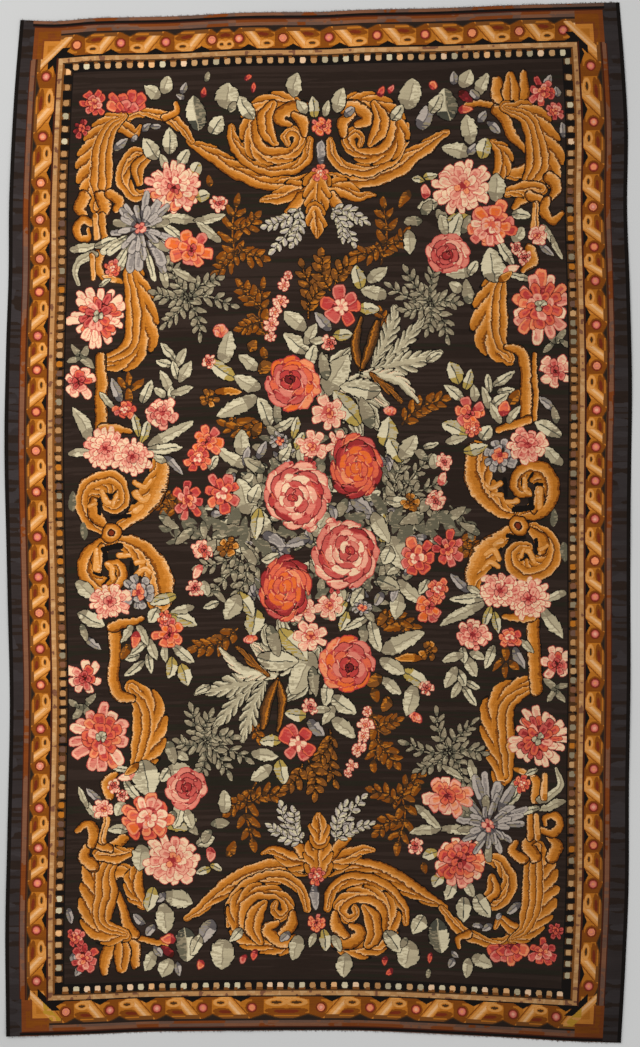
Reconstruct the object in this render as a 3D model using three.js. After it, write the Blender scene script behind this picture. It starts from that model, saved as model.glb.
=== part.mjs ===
// A flat-woven wool kilim rug, lying flat: one cloth, woven in one piece.
//
// Millimetres. +X runs across the rug, along the weft. +Y runs along the warp, towards the end
// that is the top of the design. +Z is up, and the origin is the middle of the underside.
//
// The cloth was beaten and stretched unevenly on the loom, so no edge is straight. Each edge's
// departure from the rug's enclosing rectangle is a short table, and every thread line between
// two edges is carried along with them.

import * as THREE from 'three';

// Enclosing rectangle of the rug
const OVERALL_WIDTH = 1694;
const OVERALL_LENGTH = 2808;

// Steps of the cloth between its edges
const COLUMNS_ACROSS = 13;
const ROWS_ALONG = 23;

// How far each edge lies inside the enclosing rectangle. "at" runs from -1 to 1 along the edge,
// up the rug for the sides and left to right for the ends.
const LEFT_EDGE = [
  { at: -1.0, inset: 5 },
  { at: -0.8, inset: 2 },
  { at: -0.6, inset: 8 },
  { at: -0.35, inset: 14 },
  { at: -0.15, inset: 9 },
  { at: 0.15, inset: 0 },
  { at: 0.35, inset: 4 },
  { at: 0.5, inset: 11 },
  { at: 0.65, inset: 13 },
  { at: 0.85, inset: 26 },
  { at: 1.0, inset: 43 },
];
const RIGHT_EDGE = [
  { at: -1.0, inset: 30 },
  { at: -0.85, inset: 18 },
  { at: -0.7, inset: 9 },
  { at: -0.5, inset: 8 },
  { at: -0.3, inset: 4 },
  { at: 0.0, inset: 4 },
  { at: 0.25, inset: 0 },
  { at: 0.45, inset: 6 },
  { at: 0.6, inset: 13 },
  { at: 0.75, inset: 11 },
  { at: 0.87, inset: 20 },
  { at: 1.0, inset: 34 },
];
const TOP_END = [
  { at: -1.0, inset: 48 },
  { at: -0.88, inset: 51 },
  { at: -0.75, inset: 43 },
  { at: -0.5, inset: 38 },
  { at: -0.25, inset: 28 },
  { at: 0.0, inset: 26 },
  { at: 0.15, inset: 20 },
  { at: 0.4, inset: 16 },
  { at: 0.65, inset: 8 },
  { at: 0.9, inset: 2 },
  { at: 1.0, inset: 0 },
];
const BOTTOM_END = [
  { at: -1.0, inset: 17 },
  { at: -0.75, inset: 22 },
  { at: -0.5, inset: 30 },
  { at: 0.1, inset: 33 },
  { at: 0.3, inset: 28 },
  { at: 0.5, inset: 20 },
  { at: 0.65, inset: 13 },
  { at: 0.83, inset: 4 },
  { at: 1.0, inset: 0 },
];

// Thickness of the cloth, from the rim inwards, where the thinner of the two holds. The selvedge
// is a firm round cord of bundled warps, and past it is the body of the cloth. The ends are a
// thin plain weave before the first pattern weft.
const SELVEDGE = [
  { inset: 0, thickness: 1.4 },
  { inset: 1.5, thickness: 2.7 },
  { inset: 4.5, thickness: 3.0 },
  { inset: 8, thickness: 2.4 },
];
const END_WEAVE = [
  { inset: 0, thickness: 1.0 },
  { inset: 2, thickness: 1.7 },
  { inset: 12, thickness: 1.8 },
  { inset: 16, thickness: 3.0 },
];

// Inset of an edge at a place along it: a smooth curve through the table's rows, whose slope at
// a row is that of the line between the rows beside it
function insetAt(edge, at) {
  const last = edge.length - 1;
  const slope = (row) => {
    const before = edge[Math.max(row - 1, 0)];
    const after = edge[Math.min(row + 1, last)];
    return (after.inset - before.inset) / (after.at - before.at);
  };
  const found = edge.findIndex((row) => row.at >= at);
  const next = Math.max(found < 0 ? last : found, 1);
  const start = edge[next - 1];
  const end = edge[next];
  const span = end.at - start.at;
  const t = (at - start.at) / span;
  const inset = start.inset * (1 + 2 * t) * (1 - t) ** 2
    + end.inset * (3 - 2 * t) * t ** 2
    + slope(next - 1) * span * t * (1 - t) ** 2
    - slope(next) * span * (1 - t) * t ** 2;
  return Math.max(inset, 0);
}

// Plan position of the thread crossing (across, along), each from -1 to 1 between the edges
function planPoint(across, along) {
  const left = insetAt(LEFT_EDGE, along) - OVERALL_WIDTH / 2;
  const right = OVERALL_WIDTH / 2 - insetAt(RIGHT_EDGE, along);
  const bottom = insetAt(BOTTOM_END, across) - OVERALL_LENGTH / 2;
  const top = OVERALL_LENGTH / 2 - insetAt(TOP_END, across);
  return {
    x: THREE.MathUtils.lerp(left, right, (across + 1) / 2),
    y: THREE.MathUtils.lerp(bottom, top, (along + 1) / 2),
  };
}

// Thread lines from one edge to the other, with the rim's rows at both ends. Each line has its
// place from -1 to 1 and the thickness that the rim allows there.
function threadLines(rim, size, steps) {
  const half = size / 2;
  const lowSide = rim.map(({ inset, thickness }) => ({ place: inset / half - 1, thickness }));
  const highSide = lowSide.map(({ place, thickness }) => ({ place: -place, thickness })).reverse();
  const inner = lowSide[lowSide.length - 1];
  const middle = [];
  for (let step = 1; step < steps; step += 1) {
    const place = THREE.MathUtils.lerp(inner.place, -inner.place, step / steps);
    middle.push({ place, thickness: inner.thickness });
  }
  return [...lowSide, ...middle, ...highSide];
}

// The cloth as one closed sheet: a flat underside, a top face at the cloth's thickness, and a
// rim that joins them
function clothGeometry() {
  const columns = threadLines(SELVEDGE, OVERALL_WIDTH, COLUMNS_ACROSS);
  const rows = threadLines(END_WEAVE, OVERALL_LENGTH, ROWS_ALONG);
  const positions = [];
  rows.forEach((row) => {
    columns.forEach((column) => {
      const { x, y } = planPoint(column.place, row.place);
      positions.push(x, y, 0);
      positions.push(x, y, Math.min(column.thickness, row.thickness));
    });
  });

  const under = (column, row) => 2 * (row * columns.length + column);
  const upper = (column, row) => under(column, row) + 1;
  const triangles = [];
  const addQuad = (a, b, c, d) => triangles.push(a, b, c, a, c, d);

  const lastColumn = columns.length - 1;
  const lastRow = rows.length - 1;
  for (let row = 0; row < lastRow; row += 1) {
    for (let column = 0; column < lastColumn; column += 1) {
      addQuad(
        upper(column, row),
        upper(column + 1, row),
        upper(column + 1, row + 1),
        upper(column, row + 1),
      );
      addQuad(
        under(column, row),
        under(column, row + 1),
        under(column + 1, row + 1),
        under(column + 1, row),
      );
    }
    addQuad(under(0, row + 1), under(0, row), upper(0, row), upper(0, row + 1));
    addQuad(
      under(lastColumn, row),
      under(lastColumn, row + 1),
      upper(lastColumn, row + 1),
      upper(lastColumn, row),
    );
  }
  for (let column = 0; column < lastColumn; column += 1) {
    addQuad(under(column, 0), under(column + 1, 0), upper(column + 1, 0), upper(column, 0));
    addQuad(
      under(column + 1, lastRow),
      under(column, lastRow),
      upper(column, lastRow),
      upper(column + 1, lastRow),
    );
  }

  const geometry = new THREE.BufferGeometry();
  geometry.setAttribute('position', new THREE.Float32BufferAttribute(positions, 3));
  geometry.setIndex(triangles);
  geometry.computeVertexNormals();
  return geometry;
}

// Matt wool in the rug's overall tone: a brown-black ground with amber and pink flowers
const woolWeave = new THREE.MeshStandardMaterial({
  name: 'wool_weave',
  color: new THREE.Color('#5a3d2e'),
  roughness: 0.95,
  metalness: 0,
});

const cloth = new THREE.Mesh(clothGeometry(), woolWeave);
cloth.name = 'kilim_cloth';

const rug = new THREE.Group();
rug.add(cloth);

export default rug;
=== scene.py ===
import math
from collections import namedtuple

import bpy
import numpy as np
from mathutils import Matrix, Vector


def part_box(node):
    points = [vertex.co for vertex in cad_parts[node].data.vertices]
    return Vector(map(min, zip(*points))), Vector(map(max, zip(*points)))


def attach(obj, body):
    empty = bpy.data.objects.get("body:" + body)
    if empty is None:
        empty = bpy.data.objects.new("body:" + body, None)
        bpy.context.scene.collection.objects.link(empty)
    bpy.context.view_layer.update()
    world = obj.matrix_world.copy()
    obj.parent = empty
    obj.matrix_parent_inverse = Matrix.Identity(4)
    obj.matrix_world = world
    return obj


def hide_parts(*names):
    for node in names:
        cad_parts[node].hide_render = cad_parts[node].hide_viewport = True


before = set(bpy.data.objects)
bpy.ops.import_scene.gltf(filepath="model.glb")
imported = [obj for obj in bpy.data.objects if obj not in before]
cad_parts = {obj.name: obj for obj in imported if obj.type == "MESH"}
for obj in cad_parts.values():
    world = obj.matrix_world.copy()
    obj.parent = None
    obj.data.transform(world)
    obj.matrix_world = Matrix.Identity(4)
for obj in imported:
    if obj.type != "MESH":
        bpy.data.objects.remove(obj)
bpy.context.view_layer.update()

bl_info = {
    "name": "Floral Kilim Rug",
    "version": (1, 0, 0),
    "blender": (4, 5, 0),
    "location": "View3D > Sidebar > Kilim",
    "description": "Weaves a floral wool kilim with its border, worn warp ends and uneven edges",
    "category": "Object",
}

# Sizes of the cloth, in metres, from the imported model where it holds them
MM = 0.001
LOW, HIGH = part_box("kilim_cloth")
OVERALL_WIDTH = HIGH.x - LOW.x
OVERALL_LENGTH = HIGH.y - LOW.y
WARP_PITCH = 2.7 * MM
PICK_PITCH = 1.5 * MM
WARP_END = 4 * MM

# The chart is divided into tiles, one for each face of the cloth. A cell is half a warp wide and
# little more than a pick high. A line of a tile is kept as three words of four cells each.
TILE_WORDS = 3
WORD_CELLS = 4
TILE_COLUMNS = TILE_WORDS * WORD_CELLS
TILE_ROWS = 8
CELL_WIDTH = WARP_PITCH / 2
CELL_HEIGHT = 1.8 * MM
TILES_ACROSS = round(OVERALL_WIDTH / (TILE_COLUMNS * CELL_WIDTH))
TILES_ALONG = round(OVERALL_LENGTH / (TILE_ROWS * CELL_HEIGHT))
COLUMNS = TILES_ACROSS * TILE_COLUMNS
ROWS = TILES_ALONG * TILE_ROWS

# Places in the design are counted in warps from the left and, in steps of the same size, from the
# top of the photograph's frame, which this is the size of
PHOTO_COLUMNS = 640
PHOTO_ROWS = 1047
# The middle of the rug, and the point that the lower half of the design is turned about
MIDDLE = (318.25, 522.5)
TURN_POINT = (317.5, 525.0)

# How far each edge lies inside the enclosing rectangle, in millimetres, at places from -1 to 1
LEFT_EDGE = [
    (-1.0, 5), (-0.8, 2), (-0.6, 8), (-0.35, 14), (-0.15, 9), (0.15, 0),
    (0.35, 4), (0.5, 11), (0.65, 13), (0.85, 26), (1.0, 43),
]
RIGHT_EDGE = [
    (-1.0, 30), (-0.85, 18), (-0.7, 9), (-0.5, 8), (-0.3, 4), (0.0, 4),
    (0.25, 0), (0.45, 6), (0.6, 13), (0.75, 11), (0.87, 20), (1.0, 34),
]
TOP_END = [
    (-1.0, 48), (-0.88, 51), (-0.75, 43), (-0.5, 38), (-0.25, 28), (0.0, 26),
    (0.15, 20), (0.4, 16), (0.65, 8), (0.9, 2), (1.0, 0),
]
BOTTOM_END = [
    (-1.0, 17), (-0.75, 22), (-0.5, 30), (0.1, 33), (0.3, 28), (0.5, 20),
    (0.65, 13), (0.83, 4), (1.0, 0),
]

# Thickness of the cloth from its rim inwards: distance from the edge and thickness, in millimetres
SELVEDGE = [(0, 1.4), (1.5, 2.7), (4.5, 3.0), (8, 2.4)]
END_WEAVE = [(0, 1.0), (2, 1.7), (12, 1.8), (16, 3.0)]

# The lower half repeats the upper one turned, but its forms ended up a little aside: the turned
# place of a form, and how far over and down it came out. A form between them takes after the
# nearest ones, which blend within the softness.
LOWER_SHIFTS = np.array([
    # column, row, over, down
    (462, 860, -2, -2), (495, 822, -5, 3), (443, 801, 2, -3), (537, 733, 1, 5), (171, 863, -1, -2),
    (139, 825, 4, -7), (192, 799, -2, -8), (93, 960, -8, 0), (80, 937, -4, -1), (540, 948, 1, 7),
    (554, 919, 1, 10), (354, 920, 5, 0), (269, 920, 0, -3), (337, 557, 8, -2), (278, 582, 6, 5),
    (343, 665, 5, -2), (294, 746, 4, -1), (96, 745, 6, -7), (556, 668, 1, -5), (80, 680, 4, -1),
    (531, 606, -1, -4), (504, 593, -2, -3), (494, 732, 5, -4), (95, 890, 7, -8), (120, 950, -3, -8),
    (82, 826, 5, -5), (550, 830, 0, 4), (540, 890, 0, -2), (500, 880, -4, 9), (318, 830, 0, 0),
    (449, 910, 0, 0), (186, 910, -2, 0), (529, 482, 2, 7), (530, 552, 1, 4), (145, 730, 4, -4),
], float)
SHIFT_SOFTNESS = 60

# Yarns, as they look on the rug
YARNS = {
    "night": "#2b1f18", "umber": "#33261f", "moss": "#262117", "soot": "#150f0b",
    "charcoal": "#332b29", "slate": "#393231", "maroon": "#4a1f0f", "brick": "#762c12",
    "rust": "#7f3f16", "mauve": "#6d4f40", "clay": "#80533a", "tan": "#b98653",
    "sand": "#c89a68", "amber_deep": "#85460d", "amber": "#ba6f1f", "amber_light": "#cd7f2e",
    "honey": "#de984e", "peach": "#ecb47c", "toffee": "#7d4a1d", "bark": "#4e3015",
    "grey_green": "#48463a", "sage_deep": "#665f4b", "sage": "#918267", "sage_light": "#b5a685",
    "sage_pale": "#d6c7a3", "olive": "#b0944a", "lilac_deep": "#5d5553", "lilac": "#8f837a",
    "lilac_pale": "#b5a698", "cream": "#f2caa2", "blush": "#eea688", "pink": "#dd7e69",
    "rose": "#c8564b", "coral": "#df6544", "orange": "#e56a2c", "apricot": "#ee8f5f",
    "gold": "#c2902c", "red": "#bb3d38", "crimson": "#9c2d2c", "wine": "#6c1e20",
    "plum": "#481610",
}
YARN = {name: number for number, name in enumerate(YARNS)}
# The yarns fill two colour ramps, so their number in a cell stays below this limit
RAMP_STOPS = 32
YARN_LIMIT = 2 * RAMP_STOPS

# Seeds of everything random
SEED = {
    "wander_over": (12, 13), "wander_down": (14, 15), "hatch": 11, "thin_streaks": 3,
    "thick_streaks": 4, "border": 5, "wear": 21, "dye": 22, "beads": 31, "dark_bands": 41,
    "pale_bands": 42, "filling": 21, "warp_ends": 4,
}


def linear(hex_colour):
    """Linear red, green and blue of a colour written as #rrggbb."""
    shares = [int(hex_colour[at:at + 2], 16) / 255 for at in (1, 3, 5)]
    return [s / 12.92 if s <= 0.04045 else ((s + 0.055) / 1.055) ** 2.4 for s in shares]


def inset_at(edge, at):
    """Inset of an edge, in metres: a smooth curve through its rows, as on the solid."""
    places = np.array([row[0] for row in edge], float)
    insets = np.array([row[1] for row in edge], float)
    last = len(edge) - 1
    before = np.maximum(np.arange(last + 1) - 1, 0)
    after = np.minimum(np.arange(last + 1) + 1, last)
    slopes = (insets[after] - insets[before]) / (places[after] - places[before])
    at = np.clip(np.asarray(at, float), -1, 1)
    to = np.clip(np.searchsorted(places, at), 1, last)
    start = to - 1
    span = places[to] - places[start]
    t = (at - places[start]) / span
    inset = (
        insets[start] * (1 + 2 * t) * (1 - t) ** 2
        + insets[to] * (3 - 2 * t) * t ** 2
        + slopes[start] * span * t * (1 - t) ** 2
        - slopes[to] * span * (1 - t) * t ** 2
    )
    return np.maximum(inset, 0) * MM


def plan_point(across, along):
    """Where the thread crossing (across, along), each from -1 to 1, lies on the floor."""
    left = LOW.x + inset_at(LEFT_EDGE, along)
    right = HIGH.x - inset_at(RIGHT_EDGE, along)
    bottom = LOW.y + inset_at(BOTTOM_END, across)
    top = HIGH.y - inset_at(TOP_END, across)
    x = left + (right - left) * (across + 1) / 2
    y = bottom + (top - bottom) * (along + 1) / 2
    return x, y


def smooth_noise(shape, spacing, seed):
    """Random values from 0 to 1 that change smoothly over the spacing, in cells down and across."""
    rng = np.random.default_rng(seed)
    grid = rng.random((int(shape[0] / spacing[0]) + 3, int(shape[1] / spacing[1]) + 3))
    down = np.arange(shape[0]) / spacing[0]
    over = np.arange(shape[1]) / spacing[1]
    i, j = down.astype(int), over.astype(int)
    u, v = (down - i)[:, None], over - j
    u, v = u * u * (3 - 2 * u), v * v * (3 - 2 * v)
    upper = grid[i][:, j] * (1 - v) + grid[i][:, j + 1] * v
    lower = grid[i + 1][:, j] * (1 - v) + grid[i + 1][:, j + 1] * v
    return upper * (1 - u) + lower * u


# How a petal, leaf or band is woven. line is the outline, body the main yarn, tone the yarn
# hatched into it, far the body on the far side of the middle, rim its edge, heart its base and
# vein its middle line.
Look = namedtuple("Look", "line body tone far rim heart vein", defaults=(None,) * 6)

LOOKS = {
    "sage": Look("soot", "sage", "sage_light", "sage_light", heart="sage_deep", vein="grey_green"),
    "soft": Look("soot", "sage", "sage_light", heart="sage_deep"),
    "dim": Look(None, "sage_deep", "sage"),
    "sage_pale": Look("soot", "sage_light", "sage_pale", "sage_pale", heart="sage",
                      vein="grey_green"),
    "silver": Look("soot", "sage_pale", "sage_light", "sage_light", heart="sage", vein="sage"),
    "yellow": Look("soot", "sage_light", "olive", "sage_pale", heart="olive",
                        vein="grey_green"),
    "split": Look("soot", "sage_deep", "sage", "sage_pale", heart="grey_green",
                     vein="sage_light"),
    "grey": Look("soot", "lilac", "sage", "lilac_pale", heart="lilac_deep", vein="lilac_deep"),
    "lilac": Look("slate", "lilac", "lilac_pale", rim="lilac_pale", heart="lilac_deep"),
    "brown": Look("night", "toffee", "amber", "amber_deep", heart="bark"),
    "mustard": Look("soot", "toffee", "amber", heart="bark"),
    "amber": Look("soot", "amber", "amber_deep", rim="honey", heart="amber_deep"),
    "honey": Look("bark", "honey", "amber_light", rim="peach", heart="amber"),
    "pink": Look("rose", "pink", "rose", rim="blush", heart="crimson"),
    "blush": Look("rose", "blush", "pink", rim="cream", heart="rose"),
    "pale": Look("rose", "blush", "cream", rim="cream", heart="pink"),
    "coral": Look("crimson", "coral", "rose", rim="apricot", heart="crimson"),
    "orange": Look("red", "orange", "coral", rim="apricot", heart="red"),
    "apricot": Look("rose", "apricot", "coral", rim="blush", heart="coral"),
    "red": Look("wine", "red", "rose", rim="coral", heart="wine"),
    "crimson": Look("plum", "crimson", "red", rim="rose", heart="plum"),
    "cream": Look("pink", "cream", "blush", heart="pink"),
    "rose": Look("wine", "rose", "red", rim="pink", heart="crimson"),
    "fern": Look("soot", "sage", "sage_light", "sage", heart="sage_deep"),
    "fern_pale": Look("soot", "sage_pale", "sage", "lilac_pale"),
    "cream_red": Look("rose", "cream", "blush", heart="rose"),
    "gap": Look(None, "soot"),
    "light": Look("amber", "honey", "peach"),
    "wine": Look("soot", "wine", "crimson", heart="plum"),
}

# The yarns of a scroll or frond, from one side of a strand to the other, with the share of the
# strand that each one ends at
STRAND_YARNS = {
    "amber": [("bark", 0.08), ("peach", 0.15), ("honey", 0.3), ("amber_light", 0.5),
              ("amber", 0.84), ("amber_deep", 1.01)],
    "sage": [("grey_green", 0.12), ("sage_pale", 0.38), ("sage_light", 0.62), ("sage", 0.88),
             ("sage_deep", 1.01)],
    "pale": [("grey_green", 0.1), ("cream", 0.28), ("sage_pale", 0.66), ("sage_light", 0.9),
             ("sage", 1.01)],
    "brown": [("bark", 0.2), ("amber", 0.4), ("toffee", 0.75), ("bark", 1.01)],
}
# How deep the cuts between a scroll's lobes are, as shares of its width, and how far the lobes
# lean towards its end
LOBE_DEPTH = {"amber": 0.36, "sage": 0.8, "pale": 0.8, "brown": 0.8}
LOBE_LEAN = 1.4
# The leaves' teeth: how far they stand apart, how deep they cut and the shortest leaf that has
# them, in warps
TOOTH_PITCH = 7
TOOTH_DEPTH = 0.16
TOOTHED_LENGTH = 20
# Share of the hatching's values, from 0 to 1, above which the tone is woven
HATCH_LEVEL = 0.6


class Chart:
    """The weaver's chart: the number of the yarn in each cell, row 0 at the top of the design."""

    def __init__(self):
        self.across = (np.arange(COLUMNS) + 0.5) / COLUMNS * 2 - 1
        self.along = 1 - (np.arange(ROWS) + 0.5) / ROWS * 2
        x, y = plan_point(self.across[None, :], self.along[:, None])
        self.column = (MIDDLE[0] + x / WARP_PITCH).astype(np.float32)
        self.row = (MIDDLE[1] - y / WARP_PITCH).astype(np.float32)
        self.yarn = np.full((ROWS, COLUMNS), YARN["night"], np.uint8)
        self.hatch = smooth_noise((ROWS, COLUMNS), (1.6, 7), SEED["hatch"])
        self.straight = self.column, self.row
        self.column = self.wander(self.column, SEED["wander_over"])
        self.row = self.wander(self.row, SEED["wander_down"])
        self.turned = False

    def wander(self, places, seeds):
        """The places in warps as the weaver's hand strays from the drawing, widely and finely."""
        for seed, (size, spacing) in zip(seeds, ((3.2, 28), (1.3, 7))):
            noise = smooth_noise((ROWS, COLUMNS), (spacing, spacing), seed)
            places = places + ((noise - 0.5) * size).astype(np.float32)
        return places

    def place(self, column, row):
        """A place of the design, in the half that is being woven."""
        if not self.turned:
            return column, row
        column, row = 2 * TURN_POINT[0] - column, 2 * TURN_POINT[1] - row
        away = np.sum((LOWER_SHIFTS[:, :2] - (column, row)) ** 2, axis=1)
        pull = 1 / (away + SHIFT_SOFTNESS) ** 1.5
        over, down = pull @ LOWER_SHIFTS[:, 2:] / pull.sum()
        return column + over, row + down

    def window(self, column, row, reach):
        """Slices of the cells within reach of a place of the finished rug."""
        x = (column - MIDDLE[0]) * WARP_PITCH
        y = (MIDDLE[1] - row) * WARP_PITCH
        across, along = 2 * x / OVERALL_WIDTH, 2 * y / OVERALL_LENGTH
        for _ in range(3):
            now_x, now_y = plan_point(across, along)
            across += 2 * (x - now_x) / OVERALL_WIDTH
            along += 2 * (y - now_y) / OVERALL_LENGTH
        j = (across + 1) / 2 * COLUMNS
        i = (1 - along) / 2 * ROWS
        reach = (reach + 2) * 1.08
        wide = reach * COLUMNS * WARP_PITCH / OVERALL_WIDTH
        high = reach * ROWS * WARP_PITCH / OVERALL_LENGTH
        rows = slice(max(int(i - high), 0), min(int(i + high) + 1, ROWS))
        columns = slice(max(int(j - wide), 0), min(int(j + wide) + 1, COLUMNS))
        return rows, columns

    def lay(self, window, mask, yarn):
        """Weaves a yarn, given by its name, into the masked cells of a window."""
        if yarn is not None:
            self.yarn[window][mask] = YARN[yarn]

    def shape(self, window, inside, outline, look, far, rim, heart, vein):
        """Weaves one form in its look, from the outline inwards."""
        look = LOOKS[look]
        self.lay(window, outline, look.line)
        self.lay(window, inside, look.body)
        self.lay(window, inside & far, look.far)
        self.lay(window, inside & heart, look.heart)
        self.lay(window, inside & (self.hatch[window] > HATCH_LEVEL) & ~far, look.tone)
        self.lay(window, inside & rim, look.rim)
        self.lay(window, inside & vein, look.vein)

    def petal(
        self, column, row, length, width, turn, look, tip=0.45, base=0.8, rim=1.3, heart=0.3,
        edge=0.8, teeth=0,
    ):
        """A petal or leaf from its base at a place, turned anticlockwise from pointing right. The
        outline's roundness at its tip and base falls from 0, square, to 1, pointed."""
        column, row = self.place(column, row)
        angle = math.radians(turn + (180 if self.turned else 0))
        middle = (column + math.cos(angle) * length / 2, row - math.sin(angle) * length / 2)
        window = self.window(*middle, length / 2 + width / 2 + 2)
        over = self.column[window] - column
        down = self.row[window] - row
        reach = over * math.cos(angle) - down * math.sin(angle)
        aside = over * math.sin(angle) + down * math.cos(angle)
        peak = (base / (base + tip)) ** base * (tip / (base + tip)) ** tip

        def half_width(at, widest):
            at = np.clip(at, 0, 1)
            return widest * at ** base * (1 - at) ** tip / peak

        half = half_width(reach / length, width / 2)
        if teeth:
            half = half * (1.03 - TOOTH_DEPTH * ((reach / length * teeth) % 1))
        wide = half_width((reach + edge) / (length + 2 * edge), width / 2 + edge)
        on_side = (np.abs(aside) > half - rim) & (reach > length * 0.35)
        self.shape(
            window, np.abs(aside) < half, np.abs(aside) < wide, look,
            far=aside < 0,
            rim=on_side | (reach > length - 1.6 * rim),
            heart=reach < heart * length,
            vein=(np.abs(aside) < 0.55) & (reach < length * 0.85) & (width > 5),
        )

    def leaf(self, column, row, length, width, turn, look):
        """A leaf about its middle, toothed if it is long."""
        angle = math.radians(turn)
        teeth = int(length / TOOTH_PITCH) if length > TOOTHED_LENGTH else 0
        self.petal(
            column - math.cos(angle) * length / 2, row + math.sin(angle) * length / 2,
            length * 0.97, width * 0.94, turn, look, tip=0.75, base=0.6, teeth=teeth,
        )

    def disc(self, column, row, radius, yarn):
        """A round spot."""
        column, row = self.place(column, row)
        window = self.window(column, row, radius)
        over = self.column[window] - column
        down = self.row[window] - row
        self.lay(window, over ** 2 + down ** 2 < radius ** 2, yarn)

    def along_band(self, path, widths):
        """For a band of changing width along a curve: its window and, in each cell there, the
        distance from the middle line, the band's half width, the side (-1 or 1) and the share of
        the way along."""
        points = [self.place(*point) for point in path]
        line = curve_through(points) if len(points) > 2 else np.array(points, float)
        steps = np.hypot(*np.diff(line, axis=0).T)
        run = np.concatenate([[0], np.cumsum(steps)])
        half = np.interp(run, np.linspace(0, run[-1], len(widths)), widths) / 2
        middle = (line.min(0) + line.max(0)) / 2
        reach = np.ptp(line, axis=0).max() / 2 + half.max() + 3
        window = self.window(*middle, reach)
        gap = np.full(self.yarn[window].shape, 1e9, np.float32)
        side, room, share = np.zeros_like(gap), np.zeros_like(gap), np.zeros_like(gap)
        top, left = window[0].start, window[1].start
        for k in range(len(line) - 1):
            a, b = line[k], line[k + 1]
            near = self.window(*((a + b) / 2), steps[k] / 2 + half[k] + 4)
            local = (
                slice(max(near[0].start - top, 0), max(near[0].stop - top, 0)),
                slice(max(near[1].start - left, 0), max(near[1].stop - left, 0)),
            )
            over = self.column[window][local] - a[0]
            down = self.row[window][local] - a[1]
            way = (b - a) / max(steps[k], 1e-6)
            t = np.clip((over * way[0] + down * way[1]) / max(steps[k], 1e-6), 0, 1)
            away = np.hypot(over - way[0] * t * steps[k], down - way[1] * t * steps[k])
            closer = away < gap[local]
            gap[local] = np.where(closer, away, gap[local])
            side[local] = np.where(closer, np.sign(way[0] * down - way[1] * over), side[local])
            room[local] = np.where(closer, half[k] + (half[k + 1] - half[k]) * t, room[local])
            share[local] = np.where(closer, (run[k] + t * steps[k]) / run[-1], share[local])
        return window, gap, room, side, share

    def band(self, path, widths, look):
        """A plain band of changing width along a curve through a few places."""
        window, gap, room, side, share = self.along_band(path, widths)
        self.shape(
            window, gap < room, gap < room + 0.9, look, far=side > 0,
            rim=(gap > room - 1.2) & (side < 0), heart=share < 0.12, vein=gap < 0.6,
        )

    def scroll(self, path, widths, strands=2, lobes=0, lobed=0, yarns="amber"):
        """An acanthus scroll: strands that run along it and, on one side (-1 or 1) or both (0),
        lobes that peel off its edge."""
        window, gap, room, side, share = self.along_band(path, widths)
        q = side * gap / np.maximum(room, 0.1)
        strand = (q * 0.5 + 0.5) * strands
        strand = strand - np.floor(strand)
        edge = room
        if lobes:
            on_side = (side == lobed) if lobed else np.ones_like(side, bool)
            phase = share * lobes - np.abs(q) * LOBE_LEAN
            phase = phase - np.floor(phase)
            swell = np.sqrt(np.clip(np.sin(np.pi * phase ** 0.8), 0, 1))
            bulge = 1.1 - LOBE_DEPTH[yarns] * (1 - swell)
            edge = np.where(on_side, room * bulge, room)
            strand = np.where(on_side & (gap > room * 0.28), phase, strand)
        inside = gap < edge
        self.lay(window, gap < edge + 1.0, "soot")
        strand = strand + 0.18 * (self.hatch[window] - 0.5)
        low = 0.0
        for yarn, high in STRAND_YARNS[yarns]:
            self.lay(window, inside & (strand >= low) & (strand < high), yarn)
            low = high
        self.lay(window, inside & (strand < 0), STRAND_YARNS[yarns][-1][0])


def curve_through(points, steps=7):
    """Places along a smooth curve through a few points."""
    points = np.array(points, float)
    ends = np.vstack([2 * points[0] - points[1], points, 2 * points[-1] - points[-2]])
    line = []
    for k in range(1, len(ends) - 2):
        p, q, r, s = ends[k - 1:k + 3]
        for t in np.arange(steps) / steps:
            line.append(0.5 * (
                2 * q + (r - p) * t + (2 * p - 5 * q + 4 * r - s) * t ** 2
                + (3 * q - p - 3 * r + s) * t ** 3
            ))
    line.append(points[-1])
    return np.array(line)


def arc(column, row, radius, turn, sweep, steps=26):
    """Places along an arc, from a turn through a sweep, both in degrees."""
    angles = np.radians(turn + sweep * np.linspace(0, 1, steps))
    return [(column + radius * math.cos(a), row - radius * math.sin(a)) for a in angles]


# The border, measured inwards in warps. Depth 0 is the ribbon's outer edge, and this far from the
# cloth's edge.
RIBBON_START = {"left": 19.7, "right": 23.7, "top": 15.5, "bottom": 13.0}
RIBBON_WIDTH = 21.5
# How much narrower the sides' ribbon is on its outer edge: rows of the design, and warps
RIBBON_TRIM = {
    "left": ((0, 2.0), (1040, 2.0)),
    "right": ((0, 0.3), (320, 0.3), (450, 2.5), (1040, 3.0)),
}
# How far the blocks behind the corners' diagonals lie inside the ribbon's start
CORNER_SHIFT = {"left": 4.0, "right": 2.5}
# The plain bands along the sides end at this depth, and the selvedge cords are this wide
SIDE_BAND_END = -7.6
CORD_WIDTH = {"left": 4.2, "right": 3.8}
# Stripes: the depths that each runs from and to, and its yarn
SIDE_STRIPES = [
    (SIDE_BAND_END, -6.6, "maroon"), (-6.6, -2.4, "clay"), (-2.4, -0.9, "maroon"),
    (-0.9, 0.0, "bark"), (21.5, 23.4, "maroon"), (23.4, 28.2, "tan"), (28.2, 30.4, "toffee"),
    (30.4, 38.6, "bark"), (38.6, 40.0, "soot"),
]
END_STRIPES = [
    (-16.0, -12.2, "mauve"), (-12.2, -9.8, "soot"), (-9.8, -8.4, "maroon"), (-8.4, -5.2, "clay"),
    (-5.2, -2.0, "mauve"), (-2.0, 0.0, "night"),
    (21.5, 23.3, "soot"), (23.3, 28.0, "tan"), (28.0, 29.4, "bark"), (29.4, 39.0, "soot"),
]
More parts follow.
